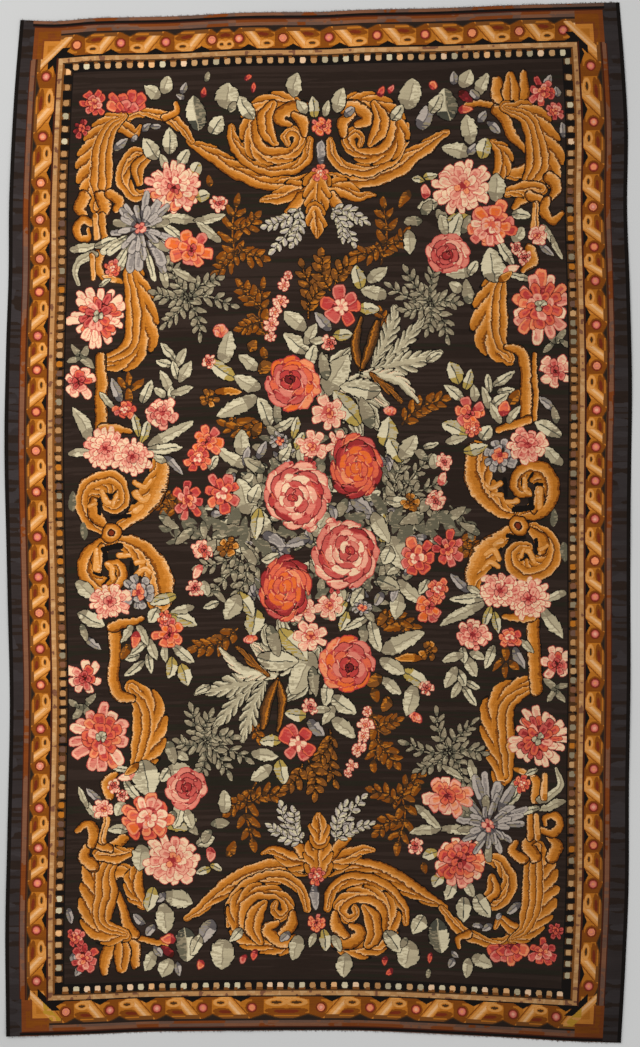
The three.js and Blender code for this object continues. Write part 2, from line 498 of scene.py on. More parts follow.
# Beads: the depth of their middle line, half of one's length, how far its setting reaches, its
# yarns where it is bright and where it is worn, and the rows that are worn on the sides
BEAD_DEPTH = {"left": 34.2, "right": 34.2, "top": 33.4, "bottom": 33.4}
BEAD_HALF = 2.9
BEAD_REACH = 3.6
BRIGHT_BEADS = ("sand", "cream", "sand", "tan", "sage_light", "peach", "sand", "sage_pale")
WORN_BEADS = ("tan", "sand", "tan", "clay", "sage", "tan", "amber", "tan", "mauve")
WORN_ROWS = (160, 880)
# Places along an edge and the number of beads up to there: they stand wider apart near the ends
BEAD_COUNTS = {
    "left": ((65, 0), (104, 2.5), (168, 7.5), (853, 80.5), (986, 92)),
    "right": ((54, 0), (94, 2.5), (154, 7.5), (850, 81.5), (982, 93)),
    "top": ((71, 0), (568.5, 46)), "bottom": ((61, 0), (566, 47)),
}
# Places of the berries along each side, which carry the ribbon's repeat
BERRIES = {
    "top": (77, 121, 166, 212, 239, 283, 329, 377, 425, 472, 519, 563),
    "bottom": (66, 110, 157, 203, 252, 321, 370, 416, 462, 513, 556),
    "left": (77, 137, 183, 220, 259, 292, 336, 370, 412, 451, 492, 537, 577, 613, 649, 685, 729,
             766, 808, 848, 883, 930, 981),
    "right": (66, 122, 167, 207, 247, 281, 325, 366, 410, 447, 481, 519, 561, 597, 634, 683, 728,
              769, 807, 845, 884, 932, 986),
}
# Rings of a berry: the radius, the yarn and its chance, and the yarn it has otherwise
BERRY_RINGS = [
    (6.6, "amber_deep", 1, ""), (5.2, "brick", 1, ""), (3.7, "rose", 0.7, "apricot"),
    (2.9, "pink", 0.7, "apricot"), (1.5, "apricot", 0.6, "blush"),
]
# Length of the ribbon's repeat as it is drawn
RIBBON_UNIT = 40
# On the ends the ribbon's twist changes hand between these two berries
HAND_CHANGE = {"top": (212, 239), "bottom": (252, 321)}


def weave_ground(chart):
    """The dark field, with the streaks that dye lots leave along the weft."""
    shape = chart.yarn.shape
    thin = smooth_noise(shape, (3, 260), SEED["thin_streaks"])
    thick = smooth_noise(shape, (14, 500), SEED["thick_streaks"])
    streak = thin * 0.6 + thick * 0.4
    chart.yarn[streak > 0.6] = YARN["umber"]
    chart.yarn[streak < 0.32] = YARN["moss"]


def ribbon_unit(at, off):
    """Yarn names and masks of one repeat of the ribbon. at runs from 0 to 40 between two berries,
    and off from -1 at the outer edge to 1 at the inner one."""
    e = off * RIBBON_WIDTH / 2
    band = (at - 25.5 + e * 0.72) * 0.8
    lens = ((at - 18) / 8.5) ** 2 + ((e + 4.2 + (at - 18) * 0.1) / 3) ** 2
    loop = ((at - 14.5) / 6.6) ** 2 + ((e - 5.4) / 4.4) ** 2
    loop_heart = ((at - 14.5) / 3.0) ** 2 + ((e - 5.2) / 1.4) ** 2
    outer_wedge, inner_wedge = e + RIBBON_WIDTH / 2, RIBBON_WIDTH / 2 - e
    return [
        # The ribbon's back and its dark outer rim
        ("amber", np.ones_like(at, bool)),
        ("bark", e < -9.2),
        ("soot", e < -10.2),
        ("amber_deep", (e < -6) | (e > 8.4) | (at < 7.5)),
        ("amber_light", (np.abs(at - 27) < 3.4) & (np.abs(e) < 8)),
        # The lens beside the berry, and the band that crosses
        ("amber_deep", lens < 1.4),
        ("brick", lens < 0.35),
        ("amber_light", np.abs(band) < 4.2),
        ("honey", np.abs(band) < 2.9),
        ("amber_deep", (band > 4.2) & (band < 5.2)),
        ("peach", (np.abs(band + 0.5) < 1.1) & (np.abs(e) < 7)),
        # The loop on the inner side
        ("amber_light", loop < 1),
        ("honey", (loop < 0.85) & (loop > 0.3)),
        ("bark", loop_heart < 1),
        # The turned edge, and the dark wedges where the ribbon twists
        ("toffee", (np.abs(at - 25) < 12) & (e < -7.2)),
        ("amber", (np.abs(at - 19) < 6) & (np.abs(e + 8.6) < 0.8)),
        ("bark", outer_wedge < 4.6 * (1 - np.abs(at - 8) / 8)),
        ("night", outer_wedge < 3.4 * (1 - np.abs(at - 8) / 6)),
        ("soot", inner_wedge < 5 * (1 - np.abs(at - 31) / 8)),
    ]


class Border:
    """What the border is measured by in each cell: how far in from every edge it lies, in warps."""

    def __init__(self, chart):
        self.chart = chart
        shape = chart.yarn.shape
        across = (chart.across[None, :] + 1) / 2 * OVERALL_WIDTH / WARP_PITCH
        along = (1 - chart.along[:, None]) / 2 * OVERALL_LENGTH / WARP_PITCH
        self.inward = {
            "left": np.broadcast_to(across, shape),
            "right": np.broadcast_to(OVERALL_WIDTH / WARP_PITCH - across, shape),
            "top": np.broadcast_to(along, shape),
            "bottom": np.broadcast_to(OVERALL_LENGTH / WARP_PITCH - along, shape),
        }
        self.depth = {side: self.inward[side] - RIBBON_START[side] for side in self.inward}
        self.side_depth = np.minimum(self.depth["left"], self.depth["right"])
        self.end_depth = np.minimum(self.depth["top"], self.depth["bottom"])
        self.nearest = np.minimum(self.side_depth, self.end_depth)
        self.trim = {
            side: np.interp(chart.row, *zip(*rows)) for side, rows in RIBBON_TRIM.items()
        }
        self.trimmed = {side: self.depth[side] - self.trim[side] for side in self.trim}
        self.dye = smooth_noise(shape, (5, 9), SEED["dye"])
        # On the ends the border runs across, and on the sides it runs down
        self.run = {
            side: chart.row if side in RIBBON_TRIM else chart.column for side in self.inward
        }

    def lay(self, mask, yarn):
        """Weaves a yarn, given by its name, into the masked cells."""
        self.chart.yarn[mask] = YARN[yarn]


def weave_stripes(border):
    """The stripes along the sides and ends, the reddish ones in uneven dyes."""
    worn = smooth_noise(border.chart.yarn.shape, (60, 60), SEED["wear"]) + 0.25 * border.dye
    is_side = border.side_depth <= border.end_depth
    outer = np.minimum(border.trimmed["left"], border.trimmed["right"])
    rows = [(is_side, outer if row[0] < 0 else border.side_depth, *row) for row in SIDE_STRIPES]
    rows += [(~is_side, border.end_depth, *row) for row in END_STRIPES]
    for part, depth, start, end, yarn in rows:
        mask = part & (depth >= start) & (depth < end)
        border.lay(mask, yarn)
        if yarn in ("clay", "mauve"):
            border.lay(mask & (worn > 0.72), "rust" if yarn == "clay" else "clay")
            border.lay(mask & (worn < 0.4), "mauve" if yarn == "clay" else "rust")
        if yarn == "tan":
            border.lay(mask & (border.dye > 0.72), "sand")
            border.lay(mask & (border.dye < 0.2), "clay")


def weave_ribbon(border, rng):
    """The ribbon, one repeat between each two berries, and the berries."""
    for side, berries in BERRIES.items():
        run, depth = border.run[side], border.depth[side]
        cut = border.trim.get(side, np.zeros(depth.shape))
        part = (depth >= cut) & (depth < RIBBON_WIDTH) & (depth <= border.nearest + 0.001)
        change = HAND_CHANGE.get(side)
        stops = [2 * berries[0] - berries[1], *berries, 2 * berries[-1] - berries[-2]]
        for start, end in zip(stops, stops[1:]):
            piece = part & (run >= start) & (run < end)
            at = (run[piece] - start) / (end - start) * RIBBON_UNIT
            if change and start > change[0]:
                at = RIBBON_UNIT - at
            if change and start == change[0]:
                at = RIBBON_UNIT / 2 - np.abs(at - RIBBON_UNIT / 2) * 0.95
            off = (depth[piece] - cut[piece]) / (RIBBON_WIDTH - cut[piece]) * 2 - 1
            colours = np.zeros(at.shape, np.uint8)
            for yarn, mask in ribbon_unit(at, off):
                colours[mask] = YARN[yarn]
            border.chart.yarn[piece] = colours
        for berry in berries:
            away = np.hypot(run - berry, depth - (RIBBON_WIDTH + cut) / 2)
            for radius, yarn, chance, other in BERRY_RINGS:
                if chance < 1 and rng.random() >= chance:
                    yarn = other
                border.lay(part & (away < radius), yarn)


def weave_corners(border):
    """The corner blocks, behind a pale diagonal."""
    dye, nearest = border.dye, border.nearest
    for side in ("left", "right"):
        for end in ("top", "bottom"):
            a, b = border.depth[side], border.depth[end]
            c = a - CORNER_SHIFT[side]
            block = (c > SIDE_BAND_END) & (b > -8) & (a + b < 42) & (a < 24) & (b < 24)
            inner = block & (c > 0) & (b > 0)
            strip = (c > 1) & (b > 2) & (a < 36) & (b < 36) & (nearest < RIBBON_WIDTH)
            worn = strip & (a > 18) & (np.abs(a + b - 34) < 5.4) & (end == "bottom")
            for yarn, mask in (
                ("rust", block),
                ("amber_deep", block & (c > -3.5) & (b > -4.5)),
                ("rust", block & (dye > 0.74)),
                ("rust", inner & (c > 1) & (b > 3) & (c + b < 40)),
                ("amber_light", inner & (c > 3) & (b > 5)),
                ("amber", inner & (c > 7) & (b > 10) & (a + b < 29)),
                ("soot", strip & (a + b > 39.5) & (a + b < 48) & (nearest > 12.5)),
                ("honey", strip & (np.abs(a + b - 35) < 4.4)),
                ("peach", strip & (np.abs(a + b - 36) < 1.6)),
                ("gold", worn),
                ("honey", worn & (dye > 0.62)),
            ):
                border.lay(mask, yarn)


def weave_beads(border, rng):
    """The row of beads: bright near the ends, and worn brown along the sides."""
    shape = border.chart.yarn.shape
    for side, counts in BEAD_COUNTS.items():
        run = border.run[side] + 1.2 * smooth_noise(shape, (40, 40), SEED["beads"])
        depth = border.depth[side]
        part = (depth <= border.nearest + 3.5) & (np.abs(depth - BEAD_DEPTH[side]) < 4.2)
        places, numbers = zip(*counts)
        number = np.interp(run, places, numbers, left=-1, right=-1)
        rate = np.interp(run + 0.5, places, numbers) - np.interp(run - 0.5, places, numbers)
        count = np.floor(number).astype(int)
        at = (number - count - 0.5) * (1 / np.maximum(rate, 0.05))
        off = (depth - BEAD_DEPTH[side]) / BEAD_REACH
        round_off = (np.abs(at) / BEAD_HALF) ** 3 + (np.abs(off) / 0.85) ** 3
        bead = part & (number >= 0) & (round_off < 1)
        worn = np.zeros_like(part)
        if side in RIBBON_TRIM:
            worn = (border.chart.row > WORN_ROWS[0]) & (border.chart.row < WORN_ROWS[1])
        gap = part & (depth <= border.nearest + 0.001) & (np.abs(at) > 3.3)
        border.lay(gap, "soot")
        border.lay(gap & worn & (border.dye > 0.4), "bark")
        for here, names in ((~worn, BRIGHT_BEADS), (worn, WORN_BEADS)):
            picked = rng.integers(0, len(names), 200)
            table = np.array([YARN[names[p]] for p in picked], np.uint8)
            border.chart.yarn[bead & here] = table[count[bead & here] % len(table)]
        border.lay(part & (np.abs(at) < 3.2) & (off < -0.55) & (border.dye > 0.5), "toffee")


def weave_side_bands(border):
    """The plain dark bands along the sides, which are wider at the corners, and the cords."""
    shape = border.chart.yarn.shape
    at_corner = np.abs(border.end_depth - 8) < 17
    dark = smooth_noise(shape, (5, 90), SEED["dark_bands"]) > 0.6
    pale = smooth_noise(shape, (9, 40), SEED["pale_bands"]) > 0.68
    for side, cord in CORD_WIDTH.items():
        band = border.trimmed[side] < SIDE_BAND_END
        band |= at_corner & (border.depth[side] - CORNER_SHIFT[side] < SIDE_BAND_END)
        border.lay(band, "charcoal")
        border.lay(band & dark, "night")
        border.lay(band & pale, "slate")
        border.lay(border.inward[side] < cord, "soot")


def weave_border(chart):
    """The whole border, from the stripes to the selvedge cords."""
    border = Border(chart)
    rng = np.random.default_rng(SEED["border"])
    weave_stripes(border)
    weave_ribbon(border, rng)
    weave_corners(border)
    weave_beads(border, rng)
    weave_side_bands(border)


# Leaves and single petals: the place of the middle, the length and width in warps, the turn in
# degrees anticlockwise from pointing right, and the look
UPPER_LEFT_LEAVES = [
    (152, 92, 22, 14, 150, "silver"), (167, 85, 20, 13, 80, "silver"), (184, 88, 12, 7, 70, "grey"),
    (180, 97, 10, 6, 150, "grey"), (205, 93, 10, 5, 80, "red"), (196, 113, 36, 22, 97, "split"),
    (217, 125, 22, 17, 60, "sage_pale"), (228, 95, 29, 25, 80, "silver"),
    (246, 108, 28, 17, 120, "sage_pale"), (148, 128, 12, 7, 40, "grey"),
    (157, 127, 10, 6, 10, "grey"), (121, 144, 18, 8, 40, "grey"), (135, 139, 7, 5, 60, "lilac"),
    (150, 149, 26, 17, 125, "sage_pale"), (170, 141, 26, 17, 88, "sage_pale"),
    (184, 158, 22, 13, 60, "sage_pale"), (163, 162, 18, 9, 110, "silver"),
    (196, 169, 16, 13, 60, "yellow"), (204, 195, 16, 12, 20, "yellow"),
    (210, 181, 12, 8, 100, "brown"), (176, 219, 40, 11, 175, "silver"),
    (210, 218, 34, 11, 8, "silver"), (208, 231, 36, 10, 140, "silver"),
    (172, 232, 26, 10, 140, "sage_pale"), (84, 248, 30, 10, 15, "silver"),
    (106, 243, 24, 9, 20, "sage_pale"), (165, 276, 26, 9, 100, "silver"),
    (184, 276, 26, 8, 150, "silver"), (166, 262, 16, 8, 60, "soft"), (222, 257, 14, 9, 60, "brown"),
]
UPPER_RIGHT_LEAVES = [
    (447, 104, 35, 24, 95, "split"), (467, 79, 20, 15, 70, "silver"),
    (483, 84, 24, 14, 60, "silver"), (455, 78, 14, 8, 100, "grey"), (466, 97, 16, 9, -45, "wine"),
    (466, 110, 13, 8, 0, "coral"), (474, 95, 12, 8, 130, "grey"), (469, 130, 31, 20, 95, "silver"),
    (483, 117, 14, 8, 60, "grey"), (494, 127, 16, 8, -40, "grey"),
    (455, 150, 30, 17, 165, "silver"), (473, 150, 14, 8, 40, "grey"),
    (484, 148, 23, 15, 75, "yellow"), (482, 193, 22, 12, 115, "silver"),
    (497, 187, 28, 20, 85, "silver"), (455, 223, 34, 20, 190, "yellow"),
    (440, 215, 16, 9, 130, "soft"), (521, 214, 20, 11, 0, "sage_pale"),
    (519, 235, 18, 13, 60, "silver"), (548, 80, 14, 8, 60, "grey"), (557, 92, 12, 7, 100, "grey"),
    (563, 130, 16, 7, 100, "grey"), (549, 236, 26, 8, -52, "silver"),
    (557, 248, 26, 7, -62, "silver"), (546, 250, 20, 7, -40, "grey"),
    (492, 266, 36, 27, 100, "sage_pale"), (505, 252, 30, 11, 125, "sage_pale"),
    (458, 274, 26, 14, 190, "silver"), (472, 268, 16, 10, 60, "sage_pale"),
    (454, 288, 16, 11, 150, "silver"), (467, 292, 26, 12, 100, "soft"),
    (425, 192, 14, 9, 90, "pink"), (428, 205, 22, 11, 200, "sage_pale"),
    (413, 222, 18, 11, 190, "soft"), (432, 176, 16, 8, 20, "yellow"),
    (418, 180, 14, 7, 160, "yellow"),
]
CREST_LEAVES = [
    (295, 84, 24, 17, 85, "silver"), (314, 108, 22, 11, 95, "yellow"),
    (303, 106, 18, 9, 120, "silver"), (326, 108, 16, 8, 70, "silver"),
    (340, 100, 26, 16, 75, "silver"), (350, 112, 14, 8, 40, "grey"),
    (411, 94, 31, 25, 80, "silver"), (398, 112, 18, 11, 50, "sage_pale"),
    (426, 117, 28, 17, 60, "grey"), (437, 103, 22, 13, 60, "sage_pale"), (254, 88, 9, 6, 80, "red"),
    (248, 78, 8, 5, 30, "red"), (381, 91, 10, 7, 80, "red"), (391, 88, 9, 6, 60, "rose"),
    (434, 84, 9, 8, 60, "coral"), (207, 78, 10, 6, 80, "soft"), (321, 152, 26, 9, 90, "lilac"),
    (233, 107, 12, 7, 60, "soft"),
]
LEFT_LEAVES = [
    (116, 389, 26, 11, 115, "grey"), (107, 401, 22, 7, 135, "silver"),
    (146, 391, 26, 11, 70, "sage_pale"), (122, 382, 16, 7, 125, "brown"),
    (130, 378, 16, 7, 90, "brown"), (138, 384, 16, 7, 50, "brown"), (130, 395, 15, 9, 90, "brown"),
    (168, 352, 26, 9, 130, "sage_pale"), (164, 363, 15, 8, 160, "sage_pale"),
    (181, 358, 20, 9, 60, "silver"), (175, 370, 20, 9, 110, "sage_pale"),
    (186, 371, 26, 13, 60, "silver"), (165, 381, 24, 12, 115, "silver"),
    (159, 393, 16, 9, 150, "silver"), (172, 393, 17, 9, 100, "sage_pale"),
    (183, 391, 24, 9, 20, "silver"), (137, 425, 24, 9, 100, "yellow"),
    (146, 431, 24, 9, 70, "yellow"), (82, 423, 40, 13, 122, "silver"),
    (80, 452, 24, 9, 15, "silver"), (172, 433, 52, 13, 26, "silver"),
    (166, 448, 36, 11, 3, "sage_pale"), (174, 465, 26, 9, -48, "grey"),
    (160, 458, 16, 8, 150, "silver"), (76, 350, 16, 7, 130, "soft"), (85, 351, 16, 7, 60, "soft"),
    (87, 363, 20, 8, -48, "soft"), (74, 360, 15, 7, 190, "soft"), (72, 500, 22, 9, 90, "dim"),
]
RIGHT_LEAVES = [
    (549, 348, 16, 7, 230, "soft"), (552, 337, 18, 8, 130, "soft"), (562, 336, 18, 8, 60, "soft"),
    (567, 345, 14, 6, -30, "soft"), (454, 372, 24, 15, 110, "yellow"),
    (468, 379, 21, 12, 75, "yellow"), (455, 393, 28, 12, 142, "sage_pale"),
    (474, 393, 18, 8, 95, "silver"), (489, 383, 20, 8, 95, "sage_pale"),
    (504, 378, 26, 9, 38, "sage_pale"), (506, 390, 17, 8, 15, "sage_pale"),
    (486, 397, 24, 10, 115, "silver"), (500, 399, 22, 9, 40, "sage_pale"),
    (514, 396, 18, 11, 60, "brown"), (496, 412, 24, 9, 115, "silver"),
    (513, 414, 22, 8, 55, "silver"), (504, 408, 16, 10, 85, "coral"),
    (547, 405, 24, 8, 140, "grey"), (555, 415, 16, 8, 100, "soft"),
    (547, 428, 30, 15, 150, "sage_pale"), (455, 428, 30, 15, 160, "yellow"),
    (457, 439, 24, 9, 15, "silver"), (486, 432, 18, 13, 60, "sage_pale"),
    (476, 449, 26, 12, 15, "yellow"), (553, 457, 26, 14, 140, "silver"),
    (554, 517, 18, 8, 90, "dim"), (435, 357, 18, 8, 30, "sage_pale"),
]
MORE_LEAVES = [
    (122, 262, 20, 10, 70, "silver"), (112, 279, 24, 7, 160, "honey"),
    (105, 282, 14, 6, 30, "sage_pale"), (455, 227, 30, 16, 70, "sage_pale"),
    (443, 224, 22, 11, 110, "silver"), (466, 224, 20, 9, 60, "soft"),
    (512, 268, 18, 7, 20, "cream"), (519, 276, 24, 8, 165, "sage_pale"),
    (506, 276, 18, 8, 40, "amber"), (427, 208, 16, 10, 60, "soft"),
]
BOUQUET_LEAVES = [
    # Broad leaves beside the upper rose
    (337, 374, 48, 25, 62, "silver"), (360, 389, 42, 22, 175, "sage_pale"),
    (346, 408, 44, 20, 130, "yellow"), (366, 412, 34, 15, 110, "soft"),
    (325, 366, 30, 12, 100, "soft"),
    # Above the bouquet
    (410, 244, 24, 14, 270, "silver"), (404, 199, 20, 10, 240, "brown"),
    (294, 321, 29, 16, 140, "silver"), (295, 343, 30, 17, 145, "sage_pale"),
    (310, 333, 24, 12, 60, "silver"), (322, 321, 25, 12, 130, "grey"),
    (312, 354, 24, 13, 80, "sage_pale"), (318, 340, 20, 8, 0, "silver"),
    (343, 334, 20, 12, 0, "yellow"), (358, 277, 25, 15, 100, "yellow"),
    (378, 275, 27, 15, 35, "silver"), (373, 293, 28, 13, 170, "silver"),
    (369, 308, 22, 13, 0, "yellow"), (227, 347, 32, 19, 75, "silver"),
    (221, 369, 34, 16, 150, "yellow"), (247, 362, 24, 13, 145, "silver"),
    (253, 345, 15, 11, 60, "mustard"), (264, 353, 14, 9, 100, "brown"),
    (265, 367, 17, 14, 20, "mustard"),
    # Round the upper rose
    (247, 382, 30, 16, 150, "silver"), (229, 391, 30, 9, 0, "amber"),
    (237, 407, 48, 19, 205, "silver"), (265, 412, 32, 16, 110, "sage_pale"),
    (277, 413, 22, 9, 95, "soft"), (285, 424, 26, 10, 30, "sage_pale"),
    (296, 427, 22, 10, 70, "yellow"), (243, 422, 24, 8, 10, "brown"),
    (258, 430, 16, 10, 60, "mustard"), (232, 425, 16, 7, 160, "brown"),
    # Left of the great rose
    (242, 442, 27, 17, 85, "silver"), (230, 457, 34, 14, 140, "silver"),
    (246, 456, 20, 7, 75, "lilac"), (254, 465, 26, 14, 150, "sage"), (262, 450, 18, 10, 60, "grey"),
    (214, 463, 18, 9, 60, "sage_pale"), (248, 478, 14, 8, 30, "silver"),
    (244, 496, 38, 25, 110, "silver"), (255, 493, 22, 14, 70, "sage_pale"),
    (261, 521, 34, 18, 120, "silver"), (234, 518, 26, 14, 60, "dim"),
    (226, 531, 28, 12, 20, "soft"), (205, 526, 26, 12, 60, "dim"), (203, 512, 22, 9, 110, "dim"),
    (190, 530, 24, 11, 140, "dim"), (212, 545, 18, 10, 60, "soft"),
    (242, 548, 26, 12, 170, "sage_pale"), (262, 545, 26, 12, 130, "dim"),
    (280, 544, 28, 12, 135, "grey"), (300, 541, 22, 12, 60, "soft"), (285, 532, 18, 9, 0, "dim"),
    (319, 528, 18, 11, 60, "silver"), (309, 536, 15, 8, 110, "grey"),
    (312, 527, 10, 6, 20, "blush"), (285, 452, 22, 12, 60, "sage_pale"),
    (300, 455, 16, 9, 100, "silver"), (272, 432, 16, 8, 130, "soft"),
    (300, 440, 20, 9, 60, "yellow"),
    # Right of the roses
    (387, 431, 28, 21, 80, "yellow"), (394, 449, 28, 16, 120, "yellow"),
    (408, 446, 30, 18, 55, "silver"), (430, 446, 18, 7, 20, "sage_pale"),
    (420, 455, 18, 7, 140, "soft"), (434, 462, 16, 11, 100, "silver"),
    (443, 478, 14, 8, 60, "blush"), (412, 506, 20, 11, 10, "mustard"),
    (456, 513, 24, 10, 40, "soft"), (383, 527, 30, 14, 85, "yellow"),
    (345, 508, 28, 12, 20, "grey"), (366, 512, 26, 12, 150, "lilac"), (405, 521, 28, 12, 10, "dim"),
    (421, 527, 24, 10, 140, "dim"), (392, 497, 26, 11, 120, "soft"),
    (372, 496, 20, 10, 20, "sage_pale"), (398, 512, 20, 9, 60, "dim"),
    (436, 520, 20, 8, 100, "soft"), (452, 530, 22, 9, 150, "dim"), (470, 528, 26, 9, 150, "soft"),
]

# Small leaves that fill the bouquet's ground: how far they reach over and up, their looks and how
# often those come round, and between what limits their length and width lie
FILLING_REACH = (112, 96)
FILLING_LOOKS = ["dim", "soft", "dim", "grey", "soft", "dim", "split"]
FILLING_ROUNDS = 26
FILLING_LENGTH = (11, 19)
FILLING_WIDTH = (5.5, 8.5)

# Sprays: a stem from its foot to its tip, how far it bows to the left, the number of leaflets on
# each side, their length and width, their look and another one for the lower half
Spray = namedtuple("Spray", "column row to_column to_row bow count length width look twin",
                   defaults=("",))
# A stem's widths at its foot and tip, and how far its leaflets are turned away from it, in degrees
STEM_WIDTHS = (1.6, 1.2)
LEAFLET_TURN = 42

SPRAYS = [
    # Brown sprigs of the field
    (237, 262, 237, 206, 5, 4, 18, 7, "brown"), (238, 250, 219, 270, 3, 3, 14, 6, "brown"),
    (240, 246, 262, 258, -3, 3, 14, 6, "brown"), (236, 230, 256, 218, -3, 3, 13, 6, "brown"),
    (382, 264, 383, 208, -5, 4, 18, 7, "brown"), (381, 246, 360, 254, 3, 3, 14, 6, "brown"),
    (384, 246, 404, 236, -3, 3, 14, 6, "brown"), (268, 340, 262, 288, 6, 4, 17, 7, "brown"),
    (260, 310, 243, 288, 0, 3, 15, 6, "brown"), (262, 322, 242, 328, 0, 3, 13, 6, "brown"),
    (308, 318, 302, 268, -5, 4, 15, 6, "mustard"), (308, 306, 318, 290, 0, 3, 13, 6, "mustard"),
    (330, 290, 322, 258, 4, 4, 15, 7, "mustard"), (336, 286, 350, 264, 3, 3, 15, 7, "mustard"),
    (402, 424, 442, 400, 5, 5, 16, 7, "brown"), (268, 428, 226, 424, 4, 4, 15, 6, "brown"),
    (384, 330, 380, 312, 0, 2, 11, 5, "brown"), (178, 508, 156, 504, 2, 3, 12, 6, "brown"),
    (482, 552, 460, 546, 2, 3, 12, 6, "brown"), (187, 545, 166, 520, 4, 2, 15, 6, "dim"),
]

# Acanthus scrolls: the places that one passes, its widths along the way, the number of strands,
# the number of lobes along it, the side they are on (-1, 1 or 0 for both) and its yarns
Scroll = namedtuple("Scroll", "path widths strands lobes lobed yarns", defaults=(2, 0, 0, "amber"))

CREST_SCROLLS = [
    # Swags below the volutes, from the outer tips to the middle
    ([(190, 141), (212, 155), (238, 171), (264, 182), (288, 184), (308, 178)],
     (6, 15, 18, 18, 15, 10), 2, 6, -1),
    ([(446, 132), (424, 149), (400, 166), (374, 178), (350, 182), (330, 178)],
     (6, 15, 18, 18, 15, 10), 2, 6, 1),
    ([(231, 127), (234, 142), (247, 158), (268, 169), (290, 169), (305, 159), (311, 141)],
     (6, 13, 15, 14, 13, 11, 8), 2, 5, -1),
    ([(407, 124), (402, 142), (391, 158), (368, 170), (346, 169), (333, 157), (329, 141)],
     (6, 13, 15, 14, 13, 11, 8), 2, 5, 1),
    # The drop below
    ([(308, 186), (290, 192), (274, 200), (262, 201)], (18, 20, 13, 4), 2, 3, 1),
    ([(326, 186), (346, 190), (360, 197), (373, 195)], (18, 20, 13, 4), 2, 3, -1),
    ([(301, 196), (296, 204), (286, 212)], (10, 11, 4), 1),
    ([(333, 196), (338, 204), (346, 210)], (10, 11, 4), 1),
    ([(317, 184), (317, 206), (316, 218)], (26, 28, 12), 4, 3, 0),
    ([(316, 212), (316, 224), (316, 236)], (18, 20, 4), 2, 2, 0),
]

# Half of the crest that is mirrored: the volute's band, its inner crescent, its hook and its end
VOLUTE_SCROLLS = [
    ([(306, 108), (291, 101), (273, 102), (259, 110), (251, 125), (253, 143), (266, 154),
      (282, 155), (295, 148), (299, 138), (292, 132), (285, 137), (287, 144)],
     (10, 15, 17, 19, 22, 23, 21, 18, 17, 15, 13, 10, 6), 2, 11, 1),
    ([(272, 104), (266, 116), (267, 130), (276, 144)], (8, 17, 17, 6), 2),
    ([(305, 108), (291, 108), (281, 114), (281, 121), (290, 125)], (12, 15, 14, 11, 6), 1),
    ([(295, 115), (304, 123), (304, 135)], (9, 13, 7), 1),
]
CREST_MIRROR = 647

# A pair of side volutes with their arms, from the ring between them
SIDE_VOLUTES = [
    ([(158, 452), (160, 470), (153, 491), (141, 508), (122, 526)], (9, 20, 26, 17, 10), 1, 5, 1),
    ([(102, 529), (90, 515), (86, 499), (93, 486), (107, 481), (119, 487), (122, 499), (116, 507),
      (108, 506)], (10, 20, 22, 23, 24, 24, 20, 15, 10), 3, 10, 1),
    ([(95, 502), (95, 513), (105, 525)], (8, 15, 7), 1),
    ([(112, 541), (132, 545), (148, 558), (158, 578), (161, 602)], (11, 18, 27, 30, 22), 2, 5, 1),
    ([(114, 542), (99, 548), (90, 561), (90, 576), (100, 586), (113, 584), (120, 575), (118, 566),
      (111, 565)], (10, 18, 23, 24, 22, 20, 18, 14, 10), 2, 9, -1),
    ([(103, 546), (98, 556), (98, 570)], (6, 12, 7), 1),
]

# Open gaps of the side volutes, and the light ends of their curls
GAPS = [
    ([(99, 500), (100, 514)], (3, 4)), ([(103, 491), (109, 497), (116, 492)], (2, 4, 2)),
    ([(112, 517), (128, 516)], (4, 5)), ([(134, 502), (137, 499)], (4, 4)),
    ([(105, 549), (122, 547)], (6, 6)), ([(106, 552), (107, 559)], (5, 4)),
    ([(94, 573), (101, 574)], (3, 4)), ([(103, 584), (109, 577)], (3, 3)),
    ([(116, 571), (116, 577)], (3, 3)), ([(131, 562), (132, 578)], (4, 5)),
]
LIGHTS = [
    ([(101, 491), (106, 501), (112, 504)], (3, 5, 4)), ([(117, 496), (113, 505)], (3, 3)),
    ([(136, 482), (144, 487), (151, 480)], (4, 4, 3)),
    ([(136, 492), (141, 500), (149, 496)], (4, 5, 3)), ([(134, 511), (140, 506)], (5, 4)),
    ([(90, 508), (96, 504)], (3, 3)), ([(97, 549), (97, 568)], (4, 6)),
    ([(107, 564), (112, 567), (113, 578)], (3, 5, 4)), ([(120, 556), (130, 555)], (4, 3)),
    ([(136, 562), (144, 562)], (4, 3)), ([(136, 574), (145, 569), (151, 573)], (4, 4, 3)),
]

